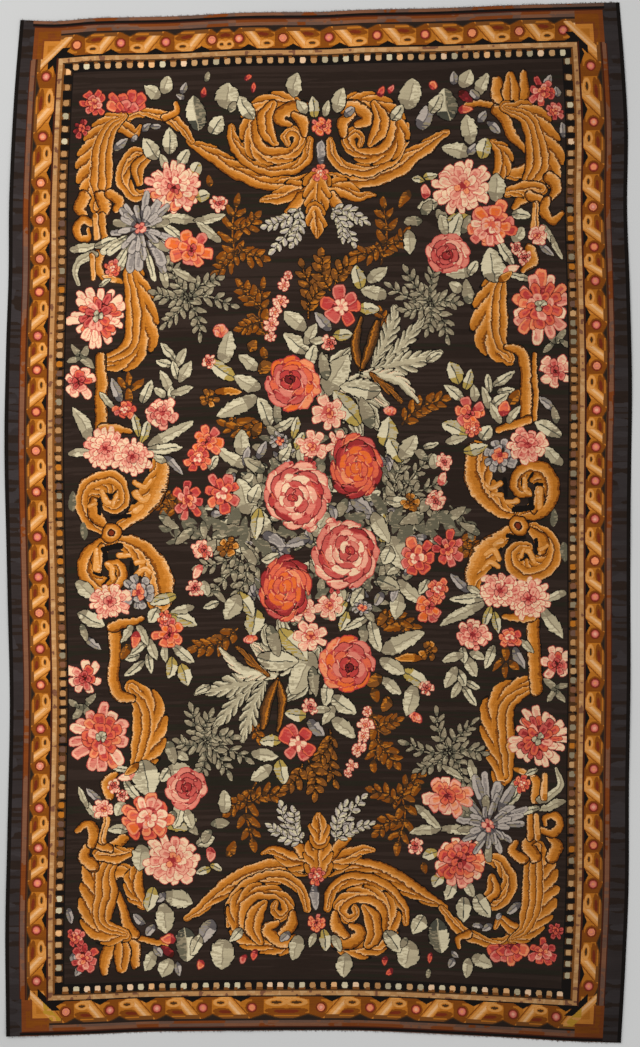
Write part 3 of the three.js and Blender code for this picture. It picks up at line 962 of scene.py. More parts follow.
CORNER_SCROLLS = [
    # Upper left corner: the arm, the long leaf and its lumps, the hook and the inner curl
    ([(124, 120), (136, 112), (152, 113), (168, 117), (182, 128), (194, 141)],
     (10, 11, 10, 11, 10, 5), 2, 4, 1), ([(166, 117), (176, 113), (175, 104)], (8, 7, 4), 1),
    ([(112, 122), (124, 128), (134, 135), (140, 128)], (12, 14, 10, 5), 2),
    ([(124, 116), (108, 126), (98, 146), (95, 168), (96, 190), (99, 206)],
     (8, 22, 32, 38, 34, 16), 5, 8, 1), ([(84, 196), (79, 209), (86, 217)], (12, 13, 7), 1),
    ([(100, 196), (106, 209), (100, 216)], (12, 13, 7), 1),
    ([(110, 194), (119, 203), (116, 211)], (10, 11, 6), 1),
    ([(92, 224), (84, 221), (76, 229), (80, 238), (89, 237), (89, 230)], (8, 9, 8, 8, 7, 4), 1),
    ([(103, 216), (103, 243)], (7, 6), 1),
    ([(150, 194), (134, 195), (123, 182), (124, 164), (135, 152), (146, 154)],
     (8, 13, 14, 13, 11, 7), 2, 5, 1), ([(146, 158), (137, 168), (139, 182)], (10, 15, 8), 2),
    # Upper right corner: the bar, the cup, the long leaf, its lumps, the hook and the crescent
    ([(468, 105), (484, 104), (500, 106)], (6, 7, 8), 1),
    ([(511, 106), (500, 97), (497, 80)], (12, 15, 8), 1),
    ([(513, 105), (523, 93), (524, 75)], (11, 14, 8), 1),
    ([(511, 106), (510, 90), (509, 77)], (11, 18, 10), 2),
    ([(497, 110), (505, 121), (513, 137), (524, 150)], (11, 11, 9, 6), 1),
    ([(502, 172), (514, 173), (526, 169), (536, 158)], (8, 14, 13, 6), 1, 3, 1),
    ([(506, 109), (528, 114), (538, 131), (543, 151), (542, 170), (528, 190)],
     (12, 24, 31, 38, 35, 18), 5, 6, -1), ([(531, 196), (521, 200), (514, 207)], (9, 11, 6), 1),
    ([(508, 193), (524, 189), (540, 188)], (9, 17, 12), 2, 3, 1),
    ([(548, 176), (556, 186), (551, 198)], (12, 12, 7), 1),
    ([(530, 196), (540, 200), (541, 208)], (9, 10, 7), 1),
    ([(547, 200), (545, 212), (552, 221), (562, 213)], (9, 12, 8, 5), 1),
    ([(536, 204), (535, 228)], (7, 6), 1),
    ([(492, 142), (502, 152), (503, 166), (497, 180)], (8, 18, 18, 8), 2, 4, -1),
    ([(530, 250), (533, 262), (524, 270)], (10, 12, 6), 1),
]

SIDE_SCROLLS = [
    # Long leaf and bracket on the left side
    ([(98, 255), (97, 268), (104, 279)], (11, 10, 5), 1),
    ([(133, 275), (138, 294), (142, 318), (140, 340), (127, 356), (103, 364)],
     (20, 29, 31, 31, 25, 13), 4, 5, -1), ([(101, 358), (101, 392), (101, 430)], (12, 13, 13), 1),
    ([(102, 428), (116, 429), (130, 432)], (9, 9, 5), 1),
    # Long leaf and bracket on the right side
    ([(504, 270), (494, 292), (490, 316), (493, 340), (508, 358)], (9, 30, 37, 33, 14), 4, 5, 1),
    ([(508, 347), (520, 350), (525, 360), (525, 390), (525, 419)], (8, 11, 12, 12, 12), 1),
    ([(528, 420), (514, 425), (498, 429)], (9, 9, 6), 1),
]

# The rings where the side volutes meet and the thin line of a bracket, not turned
JOINS = [((112, 533), 9), ((519, 525), 9)]
THIN_LINE = ([(535, 354), (535, 386), (535, 419)], (5, 6, 5), 1)

# Lobed fronds round the bouquet
FRONDS = [
    ([(372, 366), (385, 342), (396, 308)], (4, 14, 18, 5), 1, 7, 0, "sage"),
    ([(380, 366), (403, 345), (422, 318)], (4, 12, 15, 4), 1, 6, 0, "sage"),
    ([(376, 368), (408, 362), (442, 352)], (5, 16, 21, 12, 3), 1, 7, 0, "sage"),
    ([(362, 374), (394, 376), (410, 390), (419, 401)], (8, 12, 14, 9, 3), 1, 7, -1, "pale"),
    ([(370, 374), (388, 388), (402, 402)], (4, 8, 3), 1, 3, 0, "brown"),
    ([(340, 410), (352, 414), (360, 432)], (20, 22, 8), 2, 2, 0, "sage"),
    ([(338, 388), (362, 388), (386, 405)], (10, 24, 22, 6), 2, 3, 0, "pale"),
    ([(362, 400), (372, 410), (376, 426)], (12, 15, 6), 1, 2, 0, "sage"),
    ([(322, 398), (330, 374), (350, 350)], (8, 24, 27, 6), 2, 3, 0, "sage"),
    ([(360, 370), (355, 345), (361, 318)], (4, 9, 7, 3), 1, 0, 0, "brown"),
    ([(361, 368), (370, 345), (376, 322)], (4, 9, 10, 5), 1, 0, 0, "brown"),
]

# Ferns: the foot, the tips of the fronds, their leaflets on each side, the length of those, and
# the look. All fronds bow alike and have leaflets of one width.
Fern = namedtuple("Fern", "foot tips count length look")
FERN_BOW = 3
FERN_WIDTH = 4.9

FERNS = [
    ((188, 296), [(217, 279), (231, 304), (200, 333), (166, 323), (157, 294), (173, 266)],
     4, 13, "fern"),
    ((431, 303),
     [(434, 270), (391, 288), (407, 273), (456, 303), (447, 336), (406, 310), (428, 329)],
     4, 13, "fern"),
    ((393, 506), [(403, 455), (428, 460), (441, 483), (443, 512)], 5, 13, "fern"),
    ((299, 210), [(273, 251), (266, 226), (291, 244)], 5, 10, "fern_pale"),
    ((334, 208), [(354, 243), (365, 222), (342, 238)], 5, 10, "fern_pale"),
]

# Thin curved blades
BLADES = [
    ([(94, 254), (82, 260), (76, 270), (79, 285)], (7, 8, 6, 3), "silver"),
    ([(97, 216), (97, 238)], (5, 4), "honey"), ([(92, 256), (92, 278)], (5, 4), "honey"),
    ([(534, 204), (533, 226)], (4, 4), "honey"),
]

# Flowers are rings of petals, from the outside inwards: the number of petals, how far from the
# middle they start and end and how wide they are as shares of the radius, their looks, the turn
# of the first and the arc that they fill, in degrees
Ring = namedtuple("Ring", "count start end width looks turn arc", defaults=(0, 360))

FLOWERS = {
    "dahlia": [
        (14, 0.3, 1.04, 0.34, "pink coral blush pink"), (10, 0.15, 0.74, 0.32, "coral red", 15),
        (8, 0, 0.46, 0.28, "red pink", 5), (3, 0, 0.17, 0.2, "silver"),
    ],
    "dahlia_red": [
        (17, 0.4, 1.04, 0.26, "cream pale"), (13, 0.25, 0.84, 0.24, "crimson blush red", 15),
        (9, 0, 0.55, 0.24, "crimson red pink", 5), (3, 0, 0.2, 0.2, "silver"),
    ],
    "aster": [
        (10, 0.5, 1.65, 0.27, "grey sage_pale lilac soft", 205, 125),
        (13, 0.25, 1.1, 0.22, "grey lilac soft"), (12, 0.1, 0.75, 0.17, "lilac grey", 12),
        (5, 0, 0.2, 0.14, "pink rose"),
    ],
    "cabbage": [
        (10, 0.84, 1.05, 1.1, "blush pink pale pink"),
        (8, 0.67, 0.87, 1.15, "red rose crimson rose"),
        (7, 0.48, 0.7, 1.15, "cream_red pale pink cream_red"),
        (6, 0.29, 0.5, 1.15, "cream_red rose pale"), (4, 0.1, 0.31, 1.2, "pink cream_red rose"),
        (2, 0, 0.13, 1.2, "red rose"),
    ],
    "rose_orange": [
        (9, 0.83, 1.04, 1.1, "coral red rose crimson"), (7, 0.63, 0.86, 1.15, "red coral crimson"),
        (6, 0.42, 0.66, 1.15, "orange coral apricot"), (5, 0.2, 0.45, 1.15, "orange coral orange"),
        (2, 0, 0.22, 1.2, "red orange"),
    ],
    "rose_coral": [
        (9, 0.8, 1.03, 1.1, "coral apricot pink orange"),
        (7, 0.58, 0.83, 1.15, "orange coral rose"), (5, 0.36, 0.61, 1.15, "orange coral pink"),
        (4, 0.14, 0.39, 1.2, "red coral crimson"), (2, 0, 0.17, 1.2, "wine"),
    ],
    "peony": [
        (18, 0.35, 1.02, 0.24, "pale blush pink"), (9, 0.3, 0.94, 0.28, "coral pink", 195, 170),
        (13, 0.2, 0.76, 0.24, "blush pink", 20), (6, 0, 0.5, 0.26, "pink coral blush", 5),
        (3, 0, 0.24, 0.16, "crimson", 30),
    ],
    "peony_pale": [
        (15, 0.35, 1, 0.3, "pale pale blush"), (12, 0.2, 0.8, 0.3, "blush pale pink", 20),
        (8, 0, 0.55, 0.28, "pink pale", 5), (3, 0, 0.3, 0.2, "coral", 60),
    ],
    "peony_red": [
        (9, 0.35, 1, 0.42, "coral red rose"), (7, 0.2, 0.8, 0.4, "coral orange", 20),
        (5, 0.25, 0.85, 0.3, "blush pink", 150, 120), (6, 0, 0.42, 0.3, "apricot blush"),
    ],
    "rose_cream": [
        (10, 0.35, 1.02, 0.4, "pink blush pale"), (8, 0.2, 0.8, 0.36, "blush rose pink", 20),
        (6, 0, 0.5, 0.28, "rose pink", 5),
    ],
    "rose_red": [
        (13, 0.4, 1.02, 0.3, "pale blush pink"), (11, 0.25, 0.86, 0.34, "rose red coral", 15),
        (8, 0.1, 0.6, 0.28, "red rose", 5), (4, 0, 0.34, 0.22, "crimson red", 5),
    ],
    "rose_pink": [
        (7, 0.74, 1.03, 1.15, "pink blush coral"), (5, 0.48, 0.77, 1.2, "blush rose pink"),
        (4, 0.2, 0.51, 1.2, "red rose crimson"), (2, 0, 0.23, 1.2, "crimson"),
    ],
    "carnation": [
        (15, 0.45, 1.04, 0.26, "cream pale"), (12, 0.25, 0.86, 0.28, "blush pale pink", 15),
        (9, 0.1, 0.6, 0.26, "blush pink", 5), (4, 0, 0.34, 0.24, "rose", 5),
    ],
    "small_pink": [
        (7, 0.25, 1, 0.46, "pale blush cream"), (5, 0.1, 0.7, 0.4, "rose pink red", 20),
        (3, 0, 0.35, 0.3, "crimson", 20),
    ],
    "small_red": [
        (7, 0.25, 1, 0.5, "red rose coral"), (5, 0, 0.6, 0.4, "coral red", 20),
        (3, 0, 0.35, 0.3, "blush", 50),
    ],
    "small_rose": [
        (7, 0.25, 1, 0.5, "red rose crimson"), (5, 0, 0.62, 0.4, "rose pink red", 20),
        (3, 0, 0.35, 0.3, "coral", 50),
    ],
    "small_coral": [
        (7, 0.25, 1, 0.52, "coral orange rose"), (5, 0, 0.62, 0.4, "orange coral", 20),
        (2, 0, 0.35, 0.24, "crimson", 60),
    ],
    "coral_cream": [
        (9, 0.3, 1.02, 0.4, "cream apricot pale"), (7, 0.1, 0.75, 0.4, "apricot coral", 20),
        (4, 0, 0.4, 0.3, "red", 60),
    ],
    "small_wine": [(7, 0.25, 1, 0.5, "crimson wine crimson"), (4, 0, 0.45, 0.4, "red", 20)],
    "blossom": [
        (7, 0.2, 1, 0.5, "pale blush"), (4, 0.1, 0.6, 0.4, "blush pink", 20),
        (3, 0, 0.3, 0.3, "coral", 20),
    ],
    "fan": [(6, 0.2, 1, 0.42, "coral red rose", 20, 140), (3, 0, 0.6, 0.36, "rose red", 40, 100)],
    "star": [(6, 0.1, 1, 0.64, "red rose", 105), (6, 0, 0.42, 0.2, "cream", 80)],
    "tulip": [(3, 0, 1, 0.9, "coral apricot", 60, 60), (1, 0, 0.9, 0.6, "apricot", 90)],
    "mustard": [(6, 0.2, 1, 0.6, "mustard amber"), (3, 0, 0.4, 0.3, "mustard")],
    "ring_lilac": [
        (9, 0.4, 1, 0.44, "lilac grey"), (5, 0.15, 0.6, 0.36, "lilac", 20),
        (4, 0, 0.42, 0.32, "coral", 20),
    ],
}

# The roses' rings are of crescents that follow the rim, and their hearts lie aside: over and down,
# as shares of the radius
HEARTS = {
    "cabbage": (-0.2, 0.14), "rose_orange": (0.02, 0.1), "rose_coral": (-0.1, -0.2),
    "rose_pink": (0.0, 0.18),
}

Flower = namedtuple("Flower", "column row radius kind turn tall twin", defaults=(0, 1.0, ""))

BLOOMS = [
    # Upper left corner
    (93, 104, 14, "small_rose", 20), (127, 112, 24, "fan", 0, 0.9), (81, 129, 9, "small_wine"),
    (173, 188, 28, "peony", 10, 0.9, "rose_red"), (141, 228, 31, "aster", 5),
    (190, 250, 25, "small_coral", 0, 0.78, "coral_cream"), (112, 268, 9, "small_red"),
    (219, 203, 9, "small_pink"),
    # Upper right corner
    (543, 92, 14, "small_rose", 10, 1.2), (555, 112, 10, "small_rose"),
    (462, 187, 29, "peony_pale", 0, 0.97), (492, 225, 26, "peony_red", 20, 0.95),
    (448, 253, 20, "rose_pink", 0, 0.92), (537, 236, 10, "blossom"), (517, 249, 6, "small_pink"),
    (525, 258, 7, "small_pink"),
    # Crest
    (322, 126, 9, "small_coral"), (319, 173, 9, "small_red"),
    # Sides
    (98, 317, 28, "dahlia_red", 0, 1.05), (540, 306, 29, "dahlia", 10, 1.2),
    (79, 382, 17, "small_pink"), (555, 372, 18, "small_pink", 15),
    (125, 410, 13, "small_red", 0, 0.7), (162, 413, 18, "rose_cream", 0, 0.8),
    (105, 448, 22, "carnation", 0, 0.92), (133, 457, 22, "carnation", 10, 0.76),
    (470, 414, 17, "small_coral", 0, 0.95), (474, 429, 8, "small_red"),
    (500, 456, 18, "ring_lilac"), (528, 446, 21, "rose_cream", 0, 0.85, "carnation"),
    # Bouquet
    (341, 306, 20, "star"), (329, 343, 8, "small_pink"), (221, 336, 9, "tulip"),
    (210, 362, 7, "small_pink"), (293, 384, 26, "rose_coral"), (280, 301, 7, "blossom"),
    (284, 285, 6, "blossom"), (288, 276, 4, "blossom"), (275, 312, 6, "blossom"),
    (271, 323, 8, "blossom"), (271, 336, 5, "blossom"), (279, 441, 9, "ring_lilac"),
    (329, 413, 17, "blossom"), (312, 445, 15, "blossom"), (339, 444, 14, "blossom", 30),
    (356, 466, 24, "rose_orange", 0, 1.3), (306, 464, 9, "small_wine"),
    (298, 494, 30, "cabbage", 0, 1.05), (390, 416, 9, "tulip"), (445, 462, 9, "small_pink"),
    (436, 500, 10, "small_pink"), (207, 442, 16, "small_coral", 0, 1.0),
    (198, 459, 14, "small_red", 30, 0.9), (222, 492, 20, "small_red", 20, 1.05),
    (187, 500, 17, "small_rose", 0, 1.2), (209, 398, 10, "mustard"), (201, 550, 9, "small_pink"),
    (228, 547, 10, "mustard"),
]

# Places inside a tile keep this far off its edges, as a share of it
TILE_MARGIN = 0.0005
# The walls of the rim take the outermost strip of the baked picture, this share of it wide
RIM_STRIP = 0.002
# How deep the weave's relief is
RELIEF_DEPTH = 0.7 * MM

# The line that the warp ends stand on: its points at one end of the cloth, how far it reaches to
# the sides, and how far it lies up from the underside and in from the edge
END_POINTS = 500
END_REACH = 0.993
END_HEIGHT = 0.8 * MM
END_INSET = 1.2 * MM

# The stage, in metres, with the lamps' names, places, sizes and powers
FLOOR_REACH = 40
FLOOR_COLOUR = "#cac9c7"
SKY_COLOUR = (0.96, 0.98, 1, 1)
SKY_STRENGTH = 0.62
CAMERA_HEIGHT = 6
LAMPS = [
    ("key_light", (-2.6, 2.4, 3.6), 2.6, 95),
    ("fill_light", (2.8, -2.2, 4.0), 3.2, 55),
]


def place_seed(column, row):
    """A seed that belongs to a place."""
    return int(column * 1009 + row * 31)


def weave_rose(chart, column, row, radius, kind, turn, tall):
    """A rose of crescents, round a heart that lies aside of the middle."""
    rng = np.random.default_rng(place_seed(column, row))
    over, down = HEARTS[kind]
    for ring in (Ring(*row) for row in FLOWERS[kind]):
        looks = ring.looks.split()
        away = (ring.start + ring.end) / 2
        middle = column + over * radius * (1 - away), row + down * radius * (1 - away)
        half = 180 / ring.count * ring.width
        wide = (ring.end - ring.start) * radius * 1.25
        for k in range(ring.count):
            way = turn + rng.uniform(-9, 9) + 360 * k / ring.count + away * 200
            path = []
            for t in (-1, -0.5, 0, 0.5, 1):
                angle = math.radians(way + half * t)
                reach = away * radius * (1 - 0.07 * t)
                path.append((
                    middle[0] + reach * math.cos(angle), middle[1] - tall * reach * math.sin(angle),
                ))
            size = wide * rng.uniform(0.85, 1.1)
            look = looks[int(rng.integers(len(looks)))]
            chart.band(path, (size * 0.35, size * 0.9, size, size * 0.85, size * 0.3), look)


def weave_flower(chart, column, row, radius, kind, turn, tall):
    """A flower of jittered petals, always the same at the same place."""
    if kind in HEARTS:
        weave_rose(chart, column, row, radius, kind, turn, tall)
        return
    rng = np.random.default_rng(place_seed(column, row) + (7 if chart.turned else 0))
    for ring in (Ring(*row) for row in FLOWERS[kind]):
        looks = ring.looks.split()
        whole = ring.arc == 360
        for k in range(ring.count):
            share = (k + rng.uniform(-0.24, 0.24)) / (ring.count if whole else ring.count - 1)
            way = turn + ring.turn + ring.arc * share
            angle = math.radians(way)
            start, end = ring.start * radius, ring.end * radius * rng.uniform(0.82, 1.08)
            stretch = math.hypot(math.cos(angle), tall * math.sin(angle))
            chart.petal(
                column + start * math.cos(angle), row - tall * start * math.sin(angle),
                (end - start) * stretch, ring.width * radius * rng.uniform(0.8, 1.15),
                way + rng.uniform(-9, 9), looks[int(rng.integers(len(looks)))],
                tip=0.32, base=0.7, rim=max(radius * 0.07, 0.9), heart=0.35, edge=0.6,
            )


def heading_at(stem, start, end):
    """The turn, in degrees, from one point of a stem to another."""
    over, down = stem[end] - stem[start]
    return math.degrees(math.atan2(-down, over))


def weave_spray(chart, spray, look):
    """A stem with a leaflet on each side at every step and one at its tip."""
    foot = np.array([spray.column, spray.row], float)
    tip = np.array([spray.to_column, spray.to_row], float)
    way = tip - foot
    aside = np.array([way[1], -way[0]]) / np.hypot(*way)
    stem = curve_through([foot, (foot + tip) / 2 + aside * spray.bow, tip], 12)
    last = len(stem) - 1
    chart.band([tuple(p) for p in stem[::4]], STEM_WIDTHS, look)
    for k in range(spray.count):
        share = (k + 0.6) / (spray.count + 0.4)
        at = int(share * last)
        turn = heading_at(stem, max(at - 1, 0), min(at + 1, last))
        size = 1 - 0.45 * abs(share - 0.4)
        for hand in (-1, 1):
            chart.petal(*stem[at], spray.length * size, spray.width * size,
                        turn + hand * LEAFLET_TURN, look, tip=0.7, base=0.7)
    turn = heading_at(stem, last - 2, last)
    chart.petal(*stem[-2], spray.length * 0.8, spray.width, turn, look, tip=0.7, base=0.7)


def weave_filling(chart):
    """Small leaves, thick about the middle of the bouquet."""
    rng = np.random.default_rng(SEED["filling"])
    for look in FILLING_LOOKS * FILLING_ROUNDS:
        away, angle = math.sqrt(rng.uniform(0, 1)), rng.uniform(0, math.pi)
        column = TURN_POINT[0] + FILLING_REACH[0] * away * math.cos(angle)
        row = TURN_POINT[1] - FILLING_REACH[1] * away * math.sin(angle)
        length, width = rng.uniform(*FILLING_LENGTH), rng.uniform(*FILLING_WIDTH)
        chart.leaf(column, row, length, width, rng.uniform(0, 360), look)


def weave_sprays(chart):
    """The sprigs, some in a yarn of their own in the lower half."""
    for spray in (Spray(*row) for row in SPRAYS):
        weave_spray(chart, spray, (chart.turned and spray.twin) or spray.look)


def weave_scrolls(chart):
    """The scrolls, the right volute as the left one's mirror image, with their gaps and lights."""
    for scroll in CREST_SCROLLS + VOLUTE_SCROLLS:
        chart.scroll(*scroll)
    for scroll in (Scroll(*row) for row in VOLUTE_SCROLLS):
        path = [(CREST_MIRROR - column, row) for column, row in scroll.path]
        chart.scroll(*scroll._replace(path=path, lobed=-scroll.lobed))
    for scroll in CORNER_SCROLLS + SIDE_SCROLLS + SIDE_VOLUTES:
        chart.scroll(*scroll)
    for gap in GAPS:
        chart.band(*gap, "gap")
    for light in LIGHTS:
        chart.band(*light, "light")


def weave_fronds(chart):
    """The fronds and the ferns, whose fronds are sprays from one foot."""
    for scroll in FRONDS:
        chart.scroll(*scroll)
    for fern in (Fern(*row) for row in FERNS):
        for tip in fern.tips:
            frond = (FERN_BOW, fern.count, fern.length, FERN_WIDTH, fern.look)
            weave_spray(chart, Spray(*fern.foot, *tip, *frond), fern.look)


def weave_leaves(chart):
    """The leaves and blades."""
    for table in (
        BOUQUET_LEAVES, UPPER_LEFT_LEAVES, UPPER_RIGHT_LEAVES, CREST_LEAVES, LEFT_LEAVES,
        RIGHT_LEAVES, MORE_LEAVES,
    ):
        for leaf in table:
            chart.leaf(*leaf)
    for blade in BLADES:
        chart.band(*blade)


def weave_blooms(chart):
    """The flowers, some of another kind in the lower half."""
    for bloom in (Flower(*row) for row in BLOOMS):
        kind = (chart.turned and bloom.twin) or bloom.kind
        weave_flower(
            chart, bloom.column, bloom.row, bloom.radius, kind, bloom.turn, bloom.tall,
        )


def weave_design(chart):
    """The whole design, layer by layer, each in the upper half and then turned in the lower."""
    def both(paint):
        for chart.turned in (False, True):
            paint(chart)
        chart.turned = False

    weave_ground(chart)
    both(weave_filling)
    both(weave_sprays)
    both(weave_scrolls)
    for place, radius in JOINS:
        chart.disc(*place, radius, "brick")
        chart.scroll(arc(*place, radius - 2, 90, 350), (6, 6), 1)
    chart.scroll(*THIN_LINE)
    both(weave_fronds)
    both(weave_leaves)
    both(weave_blooms)
    chart.column, chart.row = chart.straight
    weave_border(chart)


def cloth_lines(rim, size, tiles):
    """Places of the mesh lines from -1 to 1: every tile's edge, and the rim's own lines."""
    lines = set(np.linspace(-1, 1, tiles + 1).tolist())
    for inset, _ in rim:
        lines.add(inset * MM * 2 / size - 1)
        lines.add(1 - inset * MM * 2 / size)
    return np.array(sorted(lines))


def rim_thickness(rim, size, places):
    """Thickness of the cloth that a rim allows at the places, in metres."""
    inset = (1 - np.abs(places)) * size / 2 / MM
    return np.interp(inset, *zip(*rim)) * MM


def cloth_rise(across, along):
    """How far the cloth stands off the floor where its edges and corners don't lie quite flat."""
    near_side = np.clip((np.abs(across) - 0.78) / 0.22, 0, 1) ** 2
    near_end = np.clip((np.abs(along) - 0.86) / 0.14, 0, 1) ** 2
    side_wave = 0.5 + 0.5 * np.sin(along * 15.3 + np.sign(across) * 1.7 + 1.1 * np.sin(along * 6.1))
    end_wave = 0.5 + 0.5 * np.sin(across * 9.2 + np.sign(along) * 2.3)
    ripple = 0.5 + 0.5 * np.sin(along * 7.1 + across * 2.2) * np.cos(across * 4.3 - along * 1.9)
    return (2.6 * near_side * side_wave + 2.4 * near_end * end_wave + 0.9 * ripple ** 2) * MM


def cloth_vertices(across, along):
    """Vertices at the crossings of the mesh lines: those of the top and then of the underside."""
    x, y = plan_point(across, along)
    thickness = np.minimum(
        rim_thickness(SELVEDGE, OVERALL_WIDTH, across),
        rim_thickness(END_WEAVE, OVERALL_LENGTH, along),
    )
    under = cloth_rise(across, along) + LOW.z
    return np.concatenate([
        np.stack([x, y, z], -1).reshape(-1, 3) for z in (under + thickness, under)
    ])


def cloth_faces(rows, columns):
    """Faces of the closed sheet: those of the top, of the underside and of the rim's walls."""
    count = rows * columns
    number = np.arange(count).reshape(rows, columns)
    a, b, c, d = number[:-1, :-1], number[:-1, 1:], number[1:, 1:], number[1:, :-1]
    top = np.stack([a, b, c, d], -1).reshape(-1, 4)
    underside = np.stack([a, d, c, b], -1).reshape(-1, 4) + count
    walls = []
    for line, way in ((number[0], 1), (number[-1], -1), (number[:, 0], -1), (number[:, -1], 1)):
        start, end = (line[:-1], line[1:])[::way]
        walls.append(np.stack([start + count, end + count, end, start], -1))
    return top, underside, np.concatenate(walls)


def spread_map(corners, under_rim):
    """The cloth spread out over the baked picture, whose outermost strip the rim's walls take."""
    spread = corners / (TILES_ACROSS, TILES_ALONG)
    spread[..., 1] = 1 - spread[..., 1]
    spread = RIM_STRIP + spread * (1 - 2 * RIM_STRIP)
    at_rim = np.abs(spread - 0.5) > 0.4999 - RIM_STRIP
    outwards = np.sign(spread - 0.5) * at_rim * RIM_STRIP
    return np.where(under_rim[:, :, None], spread + outwards, spread)


def make_cloth(chart):
    """The cloth as one closed sheet, with the chart's cells in attributes of its faces."""
    columns = cloth_lines(SELVEDGE, OVERALL_WIDTH, TILES_ACROSS)
    rows = cloth_lines(END_WEAVE, OVERALL_LENGTH, TILES_ALONG)
    across, along = np.meshgrid(columns, rows)
    top, underside, walls = cloth_faces(len(rows), len(columns))
    faces = np.concatenate([top, underside, walls])
    mesh = bpy.data.meshes.new("kilim_cloth_woven")
    mesh.from_pydata(cloth_vertices(across, along).tolist(), [], faces.tolist())
    mesh.polygons.foreach_set("use_smooth", np.ones(len(faces), bool))

    # Places of the faces' corners on the chart, in tiles from its top left
    corners = np.stack([
        (np.tile(across.reshape(-1), 2)[faces] + 1) / 2 * TILES_ACROSS,
        (1 - np.tile(along.reshape(-1), 2)[faces]) / 2 * TILES_ALONG,
    ], -1)
    tiles = np.floor(corners.mean(1)).astype(int)
    tiles = np.clip(tiles, 0, (TILES_ACROSS - 1, TILES_ALONG - 1))
    inside = np.clip(corners - tiles[:, None], TILE_MARGIN, 1 - TILE_MARGIN)
    under_rim = faces >= across.size
    under_rim[:-len(walls)] = False
    for name, places in (("Tile", inside), ("OFBake", spread_map(corners, under_rim))):
        mesh.uv_layers.new(name=name).data.foreach_set("uv", places.reshape(-1))

    cells = chart.yarn.reshape(TILES_ALONG, TILE_ROWS, TILES_ACROSS, TILE_WORDS, WORD_CELLS)
    words = (cells.astype(np.int64) * YARN_LIMIT ** np.arange(WORD_CELLS)).sum(-1)
    for line in range(TILE_ROWS):
        picks = mesh.attributes.new(f"picks_{line}", "FLOAT_VECTOR", "FACE")
        values = words[tiles[:, 1], line, tiles[:, 0]].astype(np.float32)
        picks.data.foreach_set("vector", values.reshape(-1))
    mesh.validate()
    mesh.update()
    return mesh


def socket_key(name):
    """A socket's place, where the name is an i and a number, or else its name in words."""
    return int(name[1:]) if name[1:].isdigit() else name.replace("_", " ")


class Tint:
    """A socket that takes part in Python expressions: each one adds the nodes for it."""

    def __init__(self, tree, socket):
        self.tree = tree
        self.socket = socket

    def node(self, kind, settings=None, **inputs):
        """A node of a type, with its settings and then the values or links of its sockets."""
        made = self.tree.nodes.new(kind)
        settings = dict(settings or {})
        output = settings.pop("output", 0)
        if "stops" in settings:
            fill_ramp(made.color_ramp, settings.pop("stops"))
        for name, value in settings.items():
            setattr(made, name, value)
        for name, value in inputs.items():
            if isinstance(value, Tint):
                self.tree.links.new(value.socket, made.inputs[socket_key(name)])
            else:
                made.inputs[socket_key(name)].default_value = value
        return Tint(self.tree, made.outputs[output])

    def maths(self, operation, *values):
        """A Math node on this socket and others."""
        slots = {f"i{n}": value for n, value in enumerate((self, *values))}
        return self.node("ShaderNodeMath", {"operation": operation}, **slots)

    def __add__(self, other):
        return self.maths("ADD", other)

    __radd__ = __add__

    def __mul__(self, other):
        return self.maths("MULTIPLY", other)

    __rmul__ = __mul__

    def __sub__(self, other):
        return self.maths("SUBTRACT", other)

    def __rsub__(self, other):
        return self.maths("MULTIPLY_ADD", -1, other)

    def __truediv__(self, other):
        return self.maths("DIVIDE", other)

    def __gt__(self, other):
        return self.maths("GREATER_THAN", other)

    def floor(self):
        return self.maths("FLOOR")

    def modulo(self, other):
        return self.maths("MODULO", other)

    def is_number(self, number):
        """1 where the value is a whole number, and 0 elsewhere."""
        return self.maths("COMPARE", number, 0.5)

    def between(self, low, high):
        """0 at low and 1 at high, held beyond them."""
        return self.node(
            "ShaderNodeMapRange", {"clamp": True}, Value=self, From_Min=low, From_Max=high,
        )

    def blend(self, other, share, kind="MIX"):
        """This colour mixed with another."""
        settings = {"data_type": "RGBA", "blend_type": kind, "output": 2}
        return self.node("ShaderNodeMix", settings, i0=share, i6=self, i7=other)

    def darkened(self, light):
        """This colour times a value."""
        grey = self.node("ShaderNodeCombineXYZ", X=light, Y=light, Z=light)
        return self.blend(grey, 1.0, "MULTIPLY")

    def part(self, axis):
        """One axis of a vector."""
        return self.node("ShaderNodeSeparateXYZ", {"output": axis}, Vector=self)

    def mottle(self, scale, detail):
        """Noise over the places that this socket gives, at a scale along each axis."""
        stretched = self.node("ShaderNodeMapping", Vector=self, Scale=scale)
        return self.node(
            "ShaderNodeTexNoise", {"noise_dimensions": "2D"}, Vector=stretched, Scale=1.0,
            Detail=detail, Roughness=0.6,
        )


def fill_ramp(ramp, stops):
    """Sets a colour ramp's stops: constant ones, evenly spaced."""
    ramp.interpolation = "CONSTANT"
    while len(ramp.elements) < len(stops):
        ramp.elements.new(1.0)
    for number, colour in enumerate(stops):
        ramp.elements[number].position = number / RAMP_STOPS
        ramp.elements[number].color = (*colour, 1)


def yarn_colours(settings):
    """The linear colour of every yarn, with the user's own for the main ones."""
    own = {
        "night": settings.ground_yarn, "amber": settings.amber_yarn, "sage": settings.leaf_yarn,
        "pink": settings.pink_yarn, "red": settings.red_yarn, "charcoal": settings.side_yarn,
        "tan": settings.stripe_yarn,
    }
    return [tuple(own.get(name) or linear(value)) for name, value in YARNS.items()]


